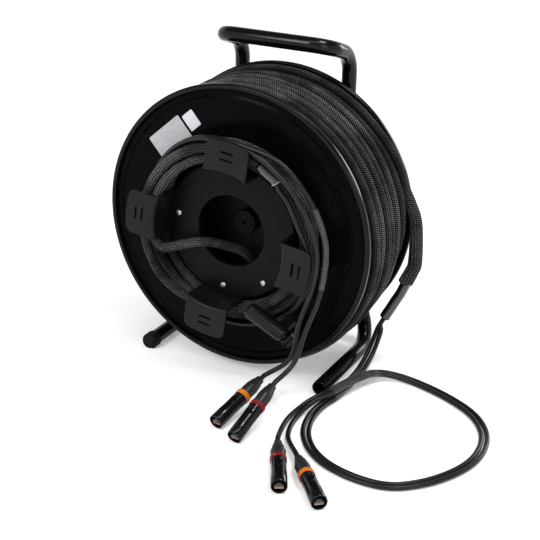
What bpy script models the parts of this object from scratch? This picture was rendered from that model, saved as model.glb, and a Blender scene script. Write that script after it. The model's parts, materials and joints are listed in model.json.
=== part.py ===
"""Network cable reel: a bent-tube stand with a sheet-steel drum of sleeved network cable.

Run with: blender --background --python part.py, or from the text editor.
Metres, +Z up. The origin is on the floor under the middle of the reel. The near side
of the drum, with the hooks and the crank, faces -Y. Shapes are modelled from the drum's
centre: x to the right, y along the axle, z up.
"""
import math

import bmesh
import bpy
from mathutils import Matrix, Vector

GAP = 0.0003                    # between pieces that touch

# Drum
FLANGE_RADIUS = 0.190
FLOOR_CLEARANCE = 0.013         # drum above the floor
FLANGE_INSIDE = 0.1292          # clear width between the two flanges at the rim
FLANGE_SHEET = 0.0016
RIM_DEPTH = 0.0074              # rolled edge, measured along the axle
RIM_WIDTH = 0.0076              # rolled edge, measured along the radius
RIM_ROUND = 0.0016
GROOVE_WIDTH = 0.0074           # channel between the rolled edge and the plate
STEP_WIDTH = 0.003
PLATE_RAISE = 0.002             # the plate is pressed outward of the groove
FLANGE_OPENING = 0.072          # hole in the near flange behind the hub cover
BARREL_RADIUS = 0.100
BARREL_WALL = 0.0015
DRUM_STEPS = 48

# Hub
HUB_RADIUS = 0.092
HUB_HOLE = 0.048
HUB_FACE_HEIGHT = 0.0108        # front of the hub cover above the flange plate
HUB_WALL = 0.003
HUB_PLATE_DEPTH = 0.046         # hub plate behind the front of the hub cover
HUB_PLATE_SHEET = 0.002
CAP_RADIUS = 0.0165
CAP_HEIGHT = 0.0095
CAP_WALL = 0.0015
HUB_TURN = math.radians(-8)     # the hooks sit a little off square
SCREW_RING = 0.0785
SCREW_RADIUS = 0.004
SCREW_HEIGHT = 0.0022
SCREW_EDGE = 0.0010
EXTRA_SCREW_ANGLE = math.radians(308)

# Hooks
HOOK_WIDTH = 0.060
HOOK_WALL = 0.003
HOOK_REACH = 0.134              # outer edge of the hook plate from the axle
HOOK_LENGTH = 0.0518            # hook front above the flange plate
HOOK_BEND = 0.005
HOOK_CORNER = 0.007
SLOT_LENGTH = 0.018
SLOT_WIDTH = 0.003
SLOT_RADII = (0.110, 0.1195)
HOOK_NAMES = ("hook_right", "hook_top", "hook_left", "hook_bottom")

# Axle and bearings
AXLE_RADIUS = 0.008
AXLE_SHOULDER = 0.013
AXLE_NOSE = 0.0065              # axle in front of the hub plate
BUSH_WALL = 0.004
BUSH_RIM = 0.0025
BUSH_RIM_SHEET = 0.0017
BUSH_LENGTH = 0.012
CLIP_SHEET = 0.0012
CLIP_SEAT = 0.0007              # how deep the clip sits in the axle
CLIP_WIDTH = 0.0037
NUT_RADIUS = 0.0145
NUT_HEIGHT = 0.011
WASHER_RADIUS = 0.015
WASHER_SHEET = 0.002
THREAD_END = 0.003

# Stand
TUBE_RADIUS = 0.010
TUBE_BORE = 0.0083
BORE_DEPTH = 0.030
FOOT_FLAT = 0.0008              # worn flat under the feet
FOOT_X = 0.132
FOOT_FRONT = -0.078
POST_X = 0.080
POST_Y = 0.092
WAIST_Z = -0.075                # where the splayed legs turn into upright posts
SHOULDER_Z = 0.206
GRIP_Y = 0.024
GRIP_Z = 0.228
FOOT_BEND = 0.045
WAIST_BEND = 0.060
SHOULDER_BEND = 0.035
GRIP_BEND = 0.028
BEND_STEPS = 6
CAP_LENGTH = 0.016
FOOT_CAP_RADIUS = 0.0115
PLUG_LENGTH = 0.022

# Axle plate and brake
PLATE_SHEET = 0.004
PLATE_TOP = 0.042
PLATE_BOTTOM = -0.042
BRAKE_X = 0.048
STUD_RADIUS = 0.004
BRAKE_BUSH_RADIUS = 0.008
BRAKE_BUSH_LENGTH = 0.006
BRAKE_PAD_RADIUS = 0.010
BRAKE_PAD_HEIGHT = 0.006
BRAKE_OPEN = 0.0015             # pad clear of the flange when released
KNOB_RADIUS = 0.016
KNOB_HEIGHT = 0.014
KNOB_LOBES = 6
KNOB_NOTCH = 0.0045
REAR_Y = 0.121                  # back of the brake knob

# Crank, folded against the coiled tail
CRANK_INSET = 0.0335            # crank pin from the flange's edge
CRANK_TURN = math.radians(-52.16)
CRANK_HEIGHT = 0.0270           # crank pin above the flange plate
CRANK_ANGLE = math.radians(144.2)
CRANK_LEAN = math.radians(14)
GRIP_RADIUS = 0.011
GRIP_LENGTH = 0.057
GRIP_START = 0.010
GRIP_SOFT = 0.0014              # rounding of the grip's ends
SPINDLE_RADIUS = 0.004
SPINDLE_HEAD = 0.006
SPINDLE_HEAD_HEIGHT = 0.003
LUG_WIDTH = 0.012
LUG_RADIUS = 0.007
PIN_RADIUS = 0.0025
EAR_WALL = 0.0025
EAR_RADIUS = 0.0075
BRACKET_SHEET = 0.002
BRACKET_LENGTH = 0.026
PIN_HEAD = 0.004
PIN_HEAD_HEIGHT = 0.002

# Labels, both blank
LABEL_SHEET = 0.0004
LABEL_CORNER = 0.0016
LABEL_SLANT = math.radians(-41)
LABEL_INSET = 0.0464            # middle of the grey label from the flange's edge
LABEL_TURN = math.radians(131.84)
LABEL_SPACE = 0.0037            # between the two labels
GREY_WIDTH = 0.058
GREY_HEIGHT = 0.0335
WHITE_WIDTH = 0.0186
WHITE_HEIGHT = 0.023

# Wound cable on the drum
SLEEVE_DIAMETER = 0.0156
WIND_PITCH = 0.0166
WIND_LOOPS = 6.75
WIND_INSET = 0.004              # middle of the outer turns from the flange's edge
WIND_SAG = 0.006                # the loose turns hang below the axle by this much
WIND_POINTS = 24                # points in one loop
EXIT_ANGLE = math.radians(16)
EXIT_RISE = 0.001               # the last turn leaves this much further out
RAMP_ANGLE = math.radians(30)
RAMP_POWER = 1.4
SINK_ANGLE = math.radians(60)
EXIT_SLOPE = math.radians(12)
LANE_GAP = 0.0006
WIND_CLEARANCE = 0.0006

# Tail wound on the hooks
TAIL_DIAMETER = 0.0130
TAIL_START_ANGLE = math.radians(172)
TAIL_LOOPS = 3 + 1 / 3
TAIL_INNER = 0.1032
TAIL_OUTER = 0.1172
TAIL_DEEP = 0.0073              # deepest turn above the flange plate
TAIL_LAYER = 0.0140
GROMMET_WALL = 0.002
HEATSHRINK_DIAMETER = 0.0138
HEATSHRINK_LENGTH = 0.030
CABLE_DIAMETER = 0.0064
PAIR_SPACING = 0.0074
THIN_RADIUS = 0.1285
THIN_DEEP = 0.0082
THIN_HIGH = 0.0375              # where the thin cables come out from behind the top hook
THIN_LEAVE = 4.27               # turns at which they leave the hooks
THIN_SPREAD = 0.14              # turns in which they swing out
THIN_SINK = (0.10, 0.28)        # turns after their start between which they go back
THIN_RISE = 0.22                # turns in which they come forward again

# Turns at which the tail changes its layer (0 is the deepest) and its ring (0 is the inner)
TAIL_LAYERS = ((0, 2), (0.5, 0), (1.78, 0), (2.0, 1), (2.7, 1), (2.9, 2))
TAIL_RINGS = ((1.0, 0), (1.22, 1), (2.45, 1), (2.62, 0), (2.7, 0), (2.9, 1))

# Connectors
PLUG_TOTAL = 0.092
BOOT_LENGTH = 0.034
BOOT_TAPER = 0.0187             # cone at the rear of the boot
BOOT_REAR = 0.0052
BOOT_FRONT = 0.0088
RING_LENGTH = 0.0065
RING_RADIUS = 0.0101
SHELL_RADIUS = 0.00975
RECESS_RADIUS = 0.0083
RECESS_DEPTH = 0.012
INSERT_WIDTH = 0.0116
INSERT_HEIGHT = 0.0080
INSERT_LENGTH = 0.0105
PLUG_STEPS = 14

# Cable routes: spacing and straight ends, counted in cable diameters
ROUTE_SPACING = 3
ROUTE_LEAD = 1.5
ROUTE_CLEAR = 2.5
ROUTE_STEPS = 20
LEAN_STEPS = 20
SHORTEST = 1e-9

# Worked out from the sizes above
AXLE_HEIGHT = FLANGE_RADIUS + FLOOR_CLEARANCE
PLATE_FACE = FLANGE_INSIDE / 2 + PLATE_RAISE + FLANGE_SHEET     # outer face of a flange plate
HUB_FACE = PLATE_FACE + HUB_FACE_HEIGHT
HUB_PLATE_Y = -HUB_FACE + HUB_PLATE_DEPTH
THIN_START = TAIL_LOOPS + (TAIL_DIAMETER + HEATSHRINK_LENGTH) / (math.tau * TAIL_OUTER)
HOOK_FACE = PLATE_FACE + HOOK_LENGTH
HOOK_INNER = HUB_RADIUS + GAP
FOOT_Z = TUBE_RADIUS - FOOT_FLAT - AXLE_HEIGHT
GRIP_END = GRIP_START + GRIP_LENGTH
CRANK_FRONT = (PLATE_FACE + CRANK_HEIGHT + (GRIP_END - GRIP_SOFT) * math.sin(CRANK_LEAN)
               + GRIP_RADIUS * math.cos(CRANK_LEAN))
MIDDLE_Y = (REAR_Y - max(HOOK_FACE, CRANK_FRONT)) / 2
GROMMET_RADIUS = TAIL_DIAMETER / 2 + GROMMET_WALL
WIND_RADIUS = FLANGE_RADIUS - WIND_INSET
EXIT_RADIUS = WIND_RADIUS + EXIT_RISE
SUNK_RADIUS = EXIT_RADIUS - SLEEVE_DIAMETER - WIND_CLEARANCE
WIND_END_Y = FLANGE_INSIDE / 2 - LANE_GAP - SLEEVE_DIAMETER / 2
WIND_CHORD = math.cos(math.pi / WIND_POINTS)      # a turn's flats lie this much further in


def clear_scene():
    for item in list(bpy.data.objects):
        bpy.data.objects.remove(item, do_unlink=True)


def new_collection(name):
    collection = bpy.data.collections.new(name)
    bpy.context.scene.collection.children.link(collection)
    return collection


def new_material(name, colour, roughness, metallic=0.0):
    material = bpy.data.materials.new(name)
    material.use_nodes = True
    shader = material.node_tree.nodes["Principled BSDF"]
    shader.inputs["Base Color"].default_value = (*colour, 1.0)
    shader.inputs["Roughness"].default_value = roughness
    shader.inputs["Metallic"].default_value = metallic
    material.diffuse_color = (*colour, 1.0)
    return material


clear_scene()
PARTS = new_collection("network_cable_reel")
CUTTERS = new_collection("cutters")


def new_empty(name, location, parent=None, turn=None):
    empty = bpy.data.objects.new(name, None)
    empty.location = location
    if turn is not None:
        empty.rotation_euler = turn.to_euler()
    empty.parent = parent
    PARTS.objects.link(empty)
    return empty


FRAME_PAINT = new_material("gloss_black_paint", (0.012, 0.012, 0.013), 0.18)
DRUM_PAINT = new_material("drum_black_paint", (0.016, 0.016, 0.018), 0.32)
PLASTIC = new_material("black_plastic", (0.022, 0.022, 0.023), 0.55)
GRIP_PLASTIC = new_material("grip_plastic", (0.020, 0.020, 0.021), 0.42)
ZINC = new_material("zinc_steel", (0.62, 0.63, 0.65), 0.30, 1.0)
STEEL = new_material("axle_steel", (0.45, 0.45, 0.46), 0.35, 1.0)
BRONZE = new_material("bronze_bush", (0.45, 0.30, 0.15), 0.40, 1.0)
RUBBER = new_material("black_rubber", (0.018, 0.018, 0.018), 0.75)
BRAID = new_material("braided_sleeve", (0.030, 0.030, 0.033), 0.62)
CABLE = new_material("black_cable", (0.016, 0.016, 0.018), 0.40)
SHRINK = new_material("heat_shrink", (0.030, 0.030, 0.032), 0.25)
CONNECTOR = new_material("connector_black", (0.014, 0.014, 0.016), 0.28, 0.3)
ORANGE = new_material("orange_ring", (0.80, 0.22, 0.03), 0.45)
RED = new_material("red_ring", (0.30, 0.02, 0.03), 0.45)
INSERT = new_material("plug_insert", (0.45, 0.42, 0.40), 0.35)
GREY_PAPER = new_material("grey_label", (0.45, 0.46, 0.48), 0.50)
WHITE_PAPER = new_material("white_label", (0.75, 0.76, 0.78), 0.45)

DRUM_PIVOT = new_empty("drum_pivot", (0, -MIDDLE_Y, AXLE_HEIGHT))
STAND = new_empty("stand_origin", (0, -MIDDLE_Y, AXLE_HEIGHT))
ALONG_AXLE = Matrix.Rotation(math.radians(-90), 4, "X")     # local +Z to +Y
FACING_NEAR = Matrix.Rotation(math.radians(90), 4, "X")     # local +Z to -Y


def finish(name, mesh, material, parent, place=Matrix(), collection=PARTS):
    """Makes an object of a mesh or curve at a place given in its parent's frame."""
    thing = bpy.data.objects.new(name, mesh)
    mesh.materials.append(material)
    thing.parent = parent
    thing.matrix_local = place
    collection.objects.link(thing)
    return thing


def smooth_shade(mesh):
    mesh.shade_smooth()
    mesh.set_sharp_from_angle(angle=math.radians(35))


def turned(name, outline, material, parent=DRUM_PIVOT, place=ALONG_AXLE, steps=DRUM_STEPS,
           collection=PARTS):
    """Turns a closed outline of (radius, height) points, or an open one that starts and ends
    on the axis, about local Z."""
    closed = min(radius for radius, height in outline) > 0
    area = sum(a[0] * b[1] - b[0] * a[1] for a, b in zip(outline, outline[1:] + outline[:1]))
    if area > 0:
        outline = outline[::-1]
    mesh = bpy.data.meshes.new(name)
    shape = bmesh.new()
    points = [shape.verts.new((radius, 0, height)) for radius, height in outline]
    for first, second in zip(points, points[1:] + (points[:1] if closed else [])):
        shape.edges.new((first, second))
    shape.to_mesh(mesh)
    shape.free()
    thing = finish(name, mesh, material, parent, place, collection)
    turn = thing.modifiers.new("turn", "SCREW")
    turn.steps = steps
    turn.render_steps = steps
    turn.use_merge_vertices = True
    turn.merge_threshold = 0.00001
    turn.use_smooth_shade = True
    return thing


def ring_outline(inner, outer, low, high):
    return [(outer, high), (outer, low), (inner, low), (inner, high)]


def disc_outline(outer, low, high):
    return [(0, high), (outer, high), (outer, low), (0, low)]


def block(name, size, place, material, parent=DRUM_PIVOT, round_edges=0.0, collection=PARTS):
    """A box of a size at a place, its edges along local Y rounded if asked."""
    mesh = bpy.data.meshes.new(name)
    shape = bmesh.new()
    bmesh.ops.create_cube(shape, size=1.0)
    bmesh.ops.scale(shape, vec=size, verts=shape.verts)
    if round_edges:
        edges = [edge for edge in shape.edges
                 if abs(edge.verts[0].co.y - edge.verts[1].co.y) > size[1] / 2]
        bmesh.ops.bevel(shape, geom=edges, offset=round_edges, segments=3, profile=0.5,
                        affect="EDGES")
    shape.to_mesh(mesh)
    shape.free()
    return finish(name, mesh, material, parent, place, collection)


def rod(name, radius, length, place, material, parent=DRUM_PIVOT, steps=24, collection=PARTS):
    """A cylinder that starts at its place and runs along local +Z."""
    mesh = bpy.data.meshes.new(name)
    shape = bmesh.new()
    bmesh.ops.create_cone(shape, cap_ends=True, segments=steps, radius1=radius, radius2=radius,
                          depth=length, matrix=Matrix.Translation((0, 0, length / 2)))
    shape.to_mesh(mesh)
    shape.free()
    smooth_shade(mesh)
    return finish(name, mesh, material, parent, place, collection)


def combine(thing, other, operation):
    """Cuts, joins or trims a piece with another, which becomes a guide."""
    if other.name not in CUTTERS.objects:
        PARTS.objects.unlink(other)
        CUTTERS.objects.link(other)
    other.hide_render = True
    other.display_type = "WIRE"
    step = thing.modifiers.new(operation.lower(), "BOOLEAN")
    step.operation = operation
    step.solver = "EXACT"
    step.object = other


def curve_tube(name, points, diameter, resolution, material, parent=DRUM_PIVOT):
    """A round tube along points."""
    curve = bpy.data.curves.new(name, "CURVE")
    curve.dimensions = "3D"
    curve.bevel_depth = diameter / 2
    curve.bevel_resolution = resolution
    curve.use_fill_caps = True
    spline = curve.splines.new("POLY")
    spline.points.add(len(points) - 1)
    for slot, point in zip(spline.points, points):
        slot.co = (*point, 1.0)
    return finish(name, curve, material, parent)


def curve_to_mesh(thing):
    """Turns a curve object into a mesh with welded caps, so that it can be cut."""
    bpy.context.view_layer.update()
    evaluated = thing.evaluated_get(bpy.context.evaluated_depsgraph_get())
    mesh = bpy.data.meshes.new_from_object(evaluated)
    shape = bmesh.new()
    shape.from_mesh(mesh)
    bmesh.ops.remove_doubles(shape, verts=shape.verts, dist=0.00001)
    shape.to_mesh(mesh)
    shape.free()
    name, world = thing.name, thing.matrix_world.copy()
    bpy.data.objects.remove(thing, do_unlink=True)
    solid = bpy.data.objects.new(name, mesh)
    PARTS.objects.link(solid)
    solid.matrix_world = world
    return solid


def rounded_path(corners, bends):
    """Points along straight runs whose inner corners are rounded with the given radii."""
    points = [corners[0]]
    for before, corner, after, bend in zip(corners, corners[1:], corners[2:], bends):
        back = (before - corner).normalized()
        ahead = (after - corner).normalized()
        half = back.angle(ahead) / 2
        reach = bend / math.tan(half)
        middle = corner + (back + ahead).normalized() * bend / math.sin(half)
        start, end = corner + back * reach, corner + ahead * reach
        normal = (start - middle).cross(end - middle).normalized()
        sweep = math.pi - 2 * half
        for step in range(BEND_STEPS + 1):
            turn = Matrix.Rotation(sweep * step / BEND_STEPS, 3, normal)
            points.append(middle + turn @ (start - middle))
    points.append(corners[-1])
    return points


def smooth_route(points, spacing):
    """Even points along a smooth curve through a route's own points."""
    ends = [points[0] * 2 - points[1], *points, points[-1] * 2 - points[-2]]
    dense = []
    for a, b, c, d in zip(ends, ends[1:], ends[2:], ends[3:]):
        for step in range(ROUTE_STEPS):
            t = step / ROUTE_STEPS
            dense.append(((b * 2) + (c - a) * t + (a * 2 - b * 5 + c * 4 - d) * t * t
                          + (b * 3 - a - c * 3 + d) * t * t * t) / 2)
    dense.append(points[-1])
    lengths = [0.0]
    for a, b in zip(dense, dense[1:]):
        lengths.append(lengths[-1] + (b - a).length)
    count = max(2, round(lengths[-1] / spacing))
    even, index = [], 0
    for number in range(count + 1):
        target = lengths[-1] * number / count
        while index < len(dense) - 2 and lengths[index + 1] < target:
            index += 1
        part = (target - lengths[index]) / max(lengths[index + 1] - lengths[index], SHORTEST)
        even.append(dense[index].lerp(dense[index + 1], min(part, 1.0)))
    return even


def around(radius, angle, y):
    """A point at a radius and angle round the axle; angles run from +X towards +Z."""
    return Vector((radius * math.cos(angle), y, radius * math.sin(angle)))


def along(stations, place):
    """A value between stations of (place, value), eased from one to the next."""
    for (start, low), (end, high) in zip(stations, stations[1:]):
        if place <= end:
            share = max(0.0, (place - start) / (end - start))
            return low + (high - low) * (1 - math.cos(math.pi * share)) / 2
    return stations[-1][1]


def least_gap(points, diameter):
    """The smallest gap between two turns of one tube, measured on its points and midpoints."""
    samples = [a.lerp(b, share) for a, b in zip(points, points[1:]) for share in (0, 0.25, 0.5, 0.75)]
    run = [0.0]
    for a, b in zip(samples, samples[1:]):
        run.append(run[-1] + (b - a).length)
    nearest = min((a - b).length for i, a in enumerate(samples) for j, b in enumerate(samples)
                  if run[j] - run[i] > 4 * diameter)
    return nearest - diameter


# Flanges and barrel

def flange_outline(bore, side):
    """Outline of one pressed flange; side is -1 for the near one and 1 for the far one."""
    inside = FLANGE_INSIDE / 2
    rim = FLANGE_RADIUS - RIM_WIDTH
    groove = rim - GROOVE_WIDTH
    plate = groove - STEP_WIDTH
    across = [(bore, PLATE_RAISE), (bore, PLATE_RAISE + FLANGE_SHEET),
              (plate, PLATE_RAISE + FLANGE_SHEET), (groove, FLANGE_SHEET), (rim, FLANGE_SHEET),
              (rim, RIM_DEPTH - RIM_ROUND), (rim + RIM_ROUND, RIM_DEPTH),
              (FLANGE_RADIUS - RIM_ROUND, RIM_DEPTH), (FLANGE_RADIUS, RIM_DEPTH - RIM_ROUND),
              (FLANGE_RADIUS, RIM_ROUND), (FLANGE_RADIUS - RIM_ROUND, 0),
              (groove - FLANGE_SHEET / 2, 0), (plate - FLANGE_SHEET / 2, PLATE_RAISE)]
    return [(radius, side * (inside + depth)) for radius, depth in across]


def make_drum():
    turned("near_flange", flange_outline(FLANGE_OPENING, -1), DRUM_PAINT)
    turned("far_flange", flange_outline(AXLE_RADIUS + GAP + BUSH_WALL + GAP, 1), DRUM_PAINT)
    half = FLANGE_INSIDE / 2 + PLATE_RAISE - GAP
    turned("barrel", ring_outline(BARREL_RADIUS - BARREL_WALL, BARREL_RADIUS, -half, half),
           DRUM_PAINT, steps=36)


# Hub cover, hub plate and what they hold

def hook_angle(number):
    return HUB_TURN + math.radians(90) * number


def make_hub():
    foot = PLATE_FACE + GAP
    turned("hub_cover", [(HUB_RADIUS, foot), (HUB_RADIUS, HUB_FACE), (HUB_HOLE, HUB_FACE),
                         (HUB_HOLE, foot), (HUB_HOLE + HUB_WALL, foot),
                         (HUB_HOLE + HUB_WALL, HUB_FACE - HUB_WALL),
                         (HUB_RADIUS - HUB_WALL, HUB_FACE - HUB_WALL),
                         (HUB_RADIUS - HUB_WALL, foot)], PLASTIC, place=FACING_NEAR, steps=36)
    screw = [(0, SCREW_HEIGHT), (SCREW_RADIUS - SCREW_EDGE, SCREW_HEIGHT),
             (SCREW_RADIUS, SCREW_HEIGHT - SCREW_EDGE), (SCREW_RADIUS, 0), (0, 0)]
    angles = [hook_angle(number) for number in range(len(HOOK_NAMES))] + [EXTRA_SCREW_ANGLE]
    for number, angle in enumerate(angles):
        seat = around(SCREW_RING, angle, -HUB_FACE - GAP)
        turned(f"hub_screw_{number + 1}", screw, ZINC,
               place=Matrix.Translation(seat) @ FACING_NEAR, steps=12)
    plate = turned("hub_plate", ring_outline(AXLE_RADIUS + BUSH_WALL + 2 * GAP,
                                             BARREL_RADIUS - BARREL_WALL - GAP,
                                             HUB_PLATE_Y, HUB_PLATE_Y + HUB_PLATE_SHEET),
                   DRUM_PAINT, steps=36)
    entry = TAIL_ROUTE[0]
    hole = rod("cable_hole_cutter", GROMMET_RADIUS + GAP, 4 * HUB_PLATE_SHEET,
               Matrix.Translation((entry.x, HUB_PLATE_Y - HUB_PLATE_SHEET, entry.z)) @ ALONG_AXLE,
               PLASTIC, collection=CUTTERS)
    combine(plate, hole, "DIFFERENCE")
    place = Matrix.Translation((entry.x, HUB_PLATE_Y, entry.z)) @ ALONG_AXLE
    lip = GROMMET_RADIUS + 2 * HUB_PLATE_SHEET
    turned("cable_grommet", [(0, -HUB_PLATE_SHEET), (lip, -HUB_PLATE_SHEET), (lip, -GAP),
                             (GROMMET_RADIUS, -GAP), (GROMMET_RADIUS, 2 * HUB_PLATE_SHEET),
                             (0, 2 * HUB_PLATE_SHEET)], RUBBER, place=place, steps=20)
    front = HUB_PLATE_Y - GAP
    turned("bearing_cap", [(0, front - CAP_HEIGHT), (CAP_RADIUS - CAP_WALL, front - CAP_HEIGHT),
                           (CAP_RADIUS, front - CAP_HEIGHT + CAP_WALL), (CAP_RADIUS, front),
                           (CAP_RADIUS - CAP_WALL, front),
                           (CAP_RADIUS - CAP_WALL, front - CAP_HEIGHT + CAP_WALL),
                           (0, front - CAP_HEIGHT + CAP_WALL)], PLASTIC, steps=24)


def make_hook(name, angle):
    """One hook: an arm along the axle that turns out into a slotted plate."""
    arm = HOOK_INNER + HOOK_WALL
    foot = PLATE_FACE + GAP
    back = HOOK_FACE - HOOK_WALL
    outline = [(HOOK_INNER, foot), (arm, foot), (arm, back - HOOK_WALL),
               (arm + HOOK_WALL, back), (HOOK_REACH, back), (HOOK_REACH, HOOK_FACE),
               (HOOK_INNER + HOOK_BEND, HOOK_FACE), (HOOK_INNER, HOOK_FACE - HOOK_BEND)]
    hook = turned(name, outline, PLASTIC, place=FACING_NEAR, steps=60)
    turn = Matrix.Rotation(-angle, 4, "Y")
    reach = HOOK_REACH + GAP - HUB_HOLE
    middle = Matrix.Translation((HUB_HOLE + reach / 2, -HOOK_FACE, 0))
    keep = block(name + "_width", (reach, 2 * HOOK_LENGTH, HOOK_WIDTH), turn @ middle, PLASTIC,
                 round_edges=HOOK_CORNER, collection=CUTTERS)
    combine(hook, keep, "INTERSECT")
    for number, radius in enumerate(SLOT_RADII):
        slot = block(f"{name}_slot_{number}", (SLOT_WIDTH, 4 * HOOK_WALL, SLOT_LENGTH),
                     turn @ Matrix.Translation((radius, -HOOK_FACE, 0)), PLASTIC,
                     collection=CUTTERS)
        combine(hook, slot, "DIFFERENCE")
    return hook


# Axle and bearings

def make_axle():
    front = HUB_PLATE_Y - AXLE_NOSE
    rim = HUB_PLATE_Y - GAP - BUSH_RIM_SHEET
    clip = rim - GAP - CLIP_SHEET
    groove = AXLE_RADIUS - CLIP_SEAT - GAP
    rear_rim = PLATE_FACE + GAP + BUSH_RIM_SHEET
    plate_front = POST_Y - PLATE_SHEET / 2
    nut = POST_Y + PLATE_SHEET / 2 + GAP + WASHER_SHEET + GAP
    end = nut + NUT_HEIGHT + THREAD_END
    turned("axle", [(0, front), (AXLE_RADIUS, front), (AXLE_RADIUS, clip - GAP),
                    (groove, clip - GAP), (groove, rim - GAP / 2), (AXLE_RADIUS, rim - GAP / 2),
                    (AXLE_RADIUS, rear_rim + GAP), (AXLE_SHOULDER, rear_rim + GAP),
                    (AXLE_SHOULDER, plate_front - GAP), (AXLE_RADIUS, plate_front - GAP),
                    (AXLE_RADIUS, end), (0, end)], STEEL, STAND, steps=24)
    turned("axle_clip", ring_outline(AXLE_RADIUS - CLIP_SEAT, AXLE_RADIUS + CLIP_WIDTH - CLIP_SEAT,
                                     clip, clip + CLIP_SHEET), STEEL, STAND, steps=24)
    turned("axle_washer", ring_outline(AXLE_RADIUS + GAP, WASHER_RADIUS,
                                       nut - GAP - WASHER_SHEET, nut - GAP), ZINC, STAND, steps=24)
    hexagon = rod("axle_nut", NUT_RADIUS, NUT_HEIGHT, Matrix.Translation((0, nut, 0)) @ ALONG_AXLE,
                  ZINC, STAND, steps=6)
    thread = rod("nut_thread_cutter", AXLE_RADIUS + GAP, 3 * NUT_HEIGHT,
                 Matrix.Translation((0, nut - NUT_HEIGHT, 0)) @ ALONG_AXLE, ZINC, STAND,
                 collection=CUTTERS)
    combine(hexagon, thread, "DIFFERENCE")
    bore = AXLE_RADIUS + GAP
    body = bore + BUSH_WALL
    seat = HUB_PLATE_Y - GAP
    turned("front_bush", [(body + BUSH_RIM, rim), (body + BUSH_RIM, seat), (body, seat),
                          (body, seat + BUSH_LENGTH), (bore, seat + BUSH_LENGTH), (bore, rim)],
           BRONZE, steps=24)
    seat = PLATE_FACE + GAP
    turned("rear_bush", [(body + BUSH_RIM, rear_rim), (body + BUSH_RIM, seat), (body, seat),
                         (body, seat - BUSH_LENGTH), (bore, seat - BUSH_LENGTH), (bore, rear_rim)],
           BRONZE, steps=24)


# Stand

def make_stand():
    left_end = FOOT_FRONT + CAP_LENGTH
    half = [Vector((FOOT_X, FOOT_FRONT, FOOT_Z)), Vector((FOOT_X, POST_Y, FOOT_Z)),
            Vector((POST_X, POST_Y, WAIST_Z)), Vector((POST_X, POST_Y, SHOULDER_Z)),
            Vector((POST_X, GRIP_Y, GRIP_Z))]
    other = [Vector((-point.x, point.y, point.z)) for point in reversed(half)]
    other[-1].y = left_end
    bends = [FOOT_BEND, WAIST_BEND, SHOULDER_BEND, GRIP_BEND]
    path = rounded_path(half + other, bends + bends[::-1])
    tube = curve_to_mesh(curve_tube("frame_tube", path, 2 * TUBE_RADIUS, 3, FRAME_PAINT, STAND))
    smooth_shade(tube.data)
    for side, front in (("right", FOOT_FRONT), ("left", left_end)):
        x = FOOT_X if side == "right" else -FOOT_X
        bore = rod(f"{side}_bore_cutter", TUBE_BORE, 2 * BORE_DEPTH,
                   Matrix.Translation((x, front - BORE_DEPTH, FOOT_Z)) @ ALONG_AXLE, FRAME_PAINT,
                   STAND, steps=16, collection=CUTTERS)
        combine(tube, bore, "DIFFERENCE")
    floor = block("floor_cutter", (4 * FOOT_X, 4 * POST_Y, TUBE_RADIUS),
                  Matrix.Translation((0, 0, -AXLE_HEIGHT - TUBE_RADIUS / 2)), FRAME_PAINT, STAND,
                  collection=CUTTERS)
    combine(tube, floor, "DIFFERENCE")
    head = CAP_LENGTH - GAP
    soft = FOOT_CAP_RADIUS - TUBE_RADIUS
    cap = turned("foot_cap_left",
                 [(0, 0), (FOOT_CAP_RADIUS - soft, 0), (FOOT_CAP_RADIUS, soft),
                  (FOOT_CAP_RADIUS, head), (TUBE_BORE - GAP, head),
                  (TUBE_BORE - GAP, head + PLUG_LENGTH), (0, head + PLUG_LENGTH)], RUBBER, STAND,
                 place=Matrix.Translation((-FOOT_X, FOOT_FRONT, FOOT_Z)) @ ALONG_AXLE, steps=24)
    combine(cap, floor, "DIFFERENCE")
    width = 2 * (POST_X - TUBE_RADIUS - GAP)
    tall = PLATE_TOP - PLATE_BOTTOM
    plate = block("axle_plate", (width, PLATE_SHEET, tall),
                  Matrix.Translation((0, POST_Y, (PLATE_TOP + PLATE_BOTTOM) / 2)), FRAME_PAINT,
                  STAND)
    for name, x, radius in (("axle_hole_cutter", 0, AXLE_RADIUS + GAP),
                            ("brake_hole_cutter", BRAKE_X, BRAKE_BUSH_RADIUS + GAP)):
        hole = rod(name, radius, 4 * PLATE_SHEET,
                   Matrix.Translation((x, POST_Y - 2 * PLATE_SHEET, 0)) @ ALONG_AXLE, FRAME_PAINT,
                   STAND, collection=CUTTERS)
        combine(plate, hole, "DIFFERENCE")


# Brake: a knob at the back drives a pad against the far flange

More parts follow.
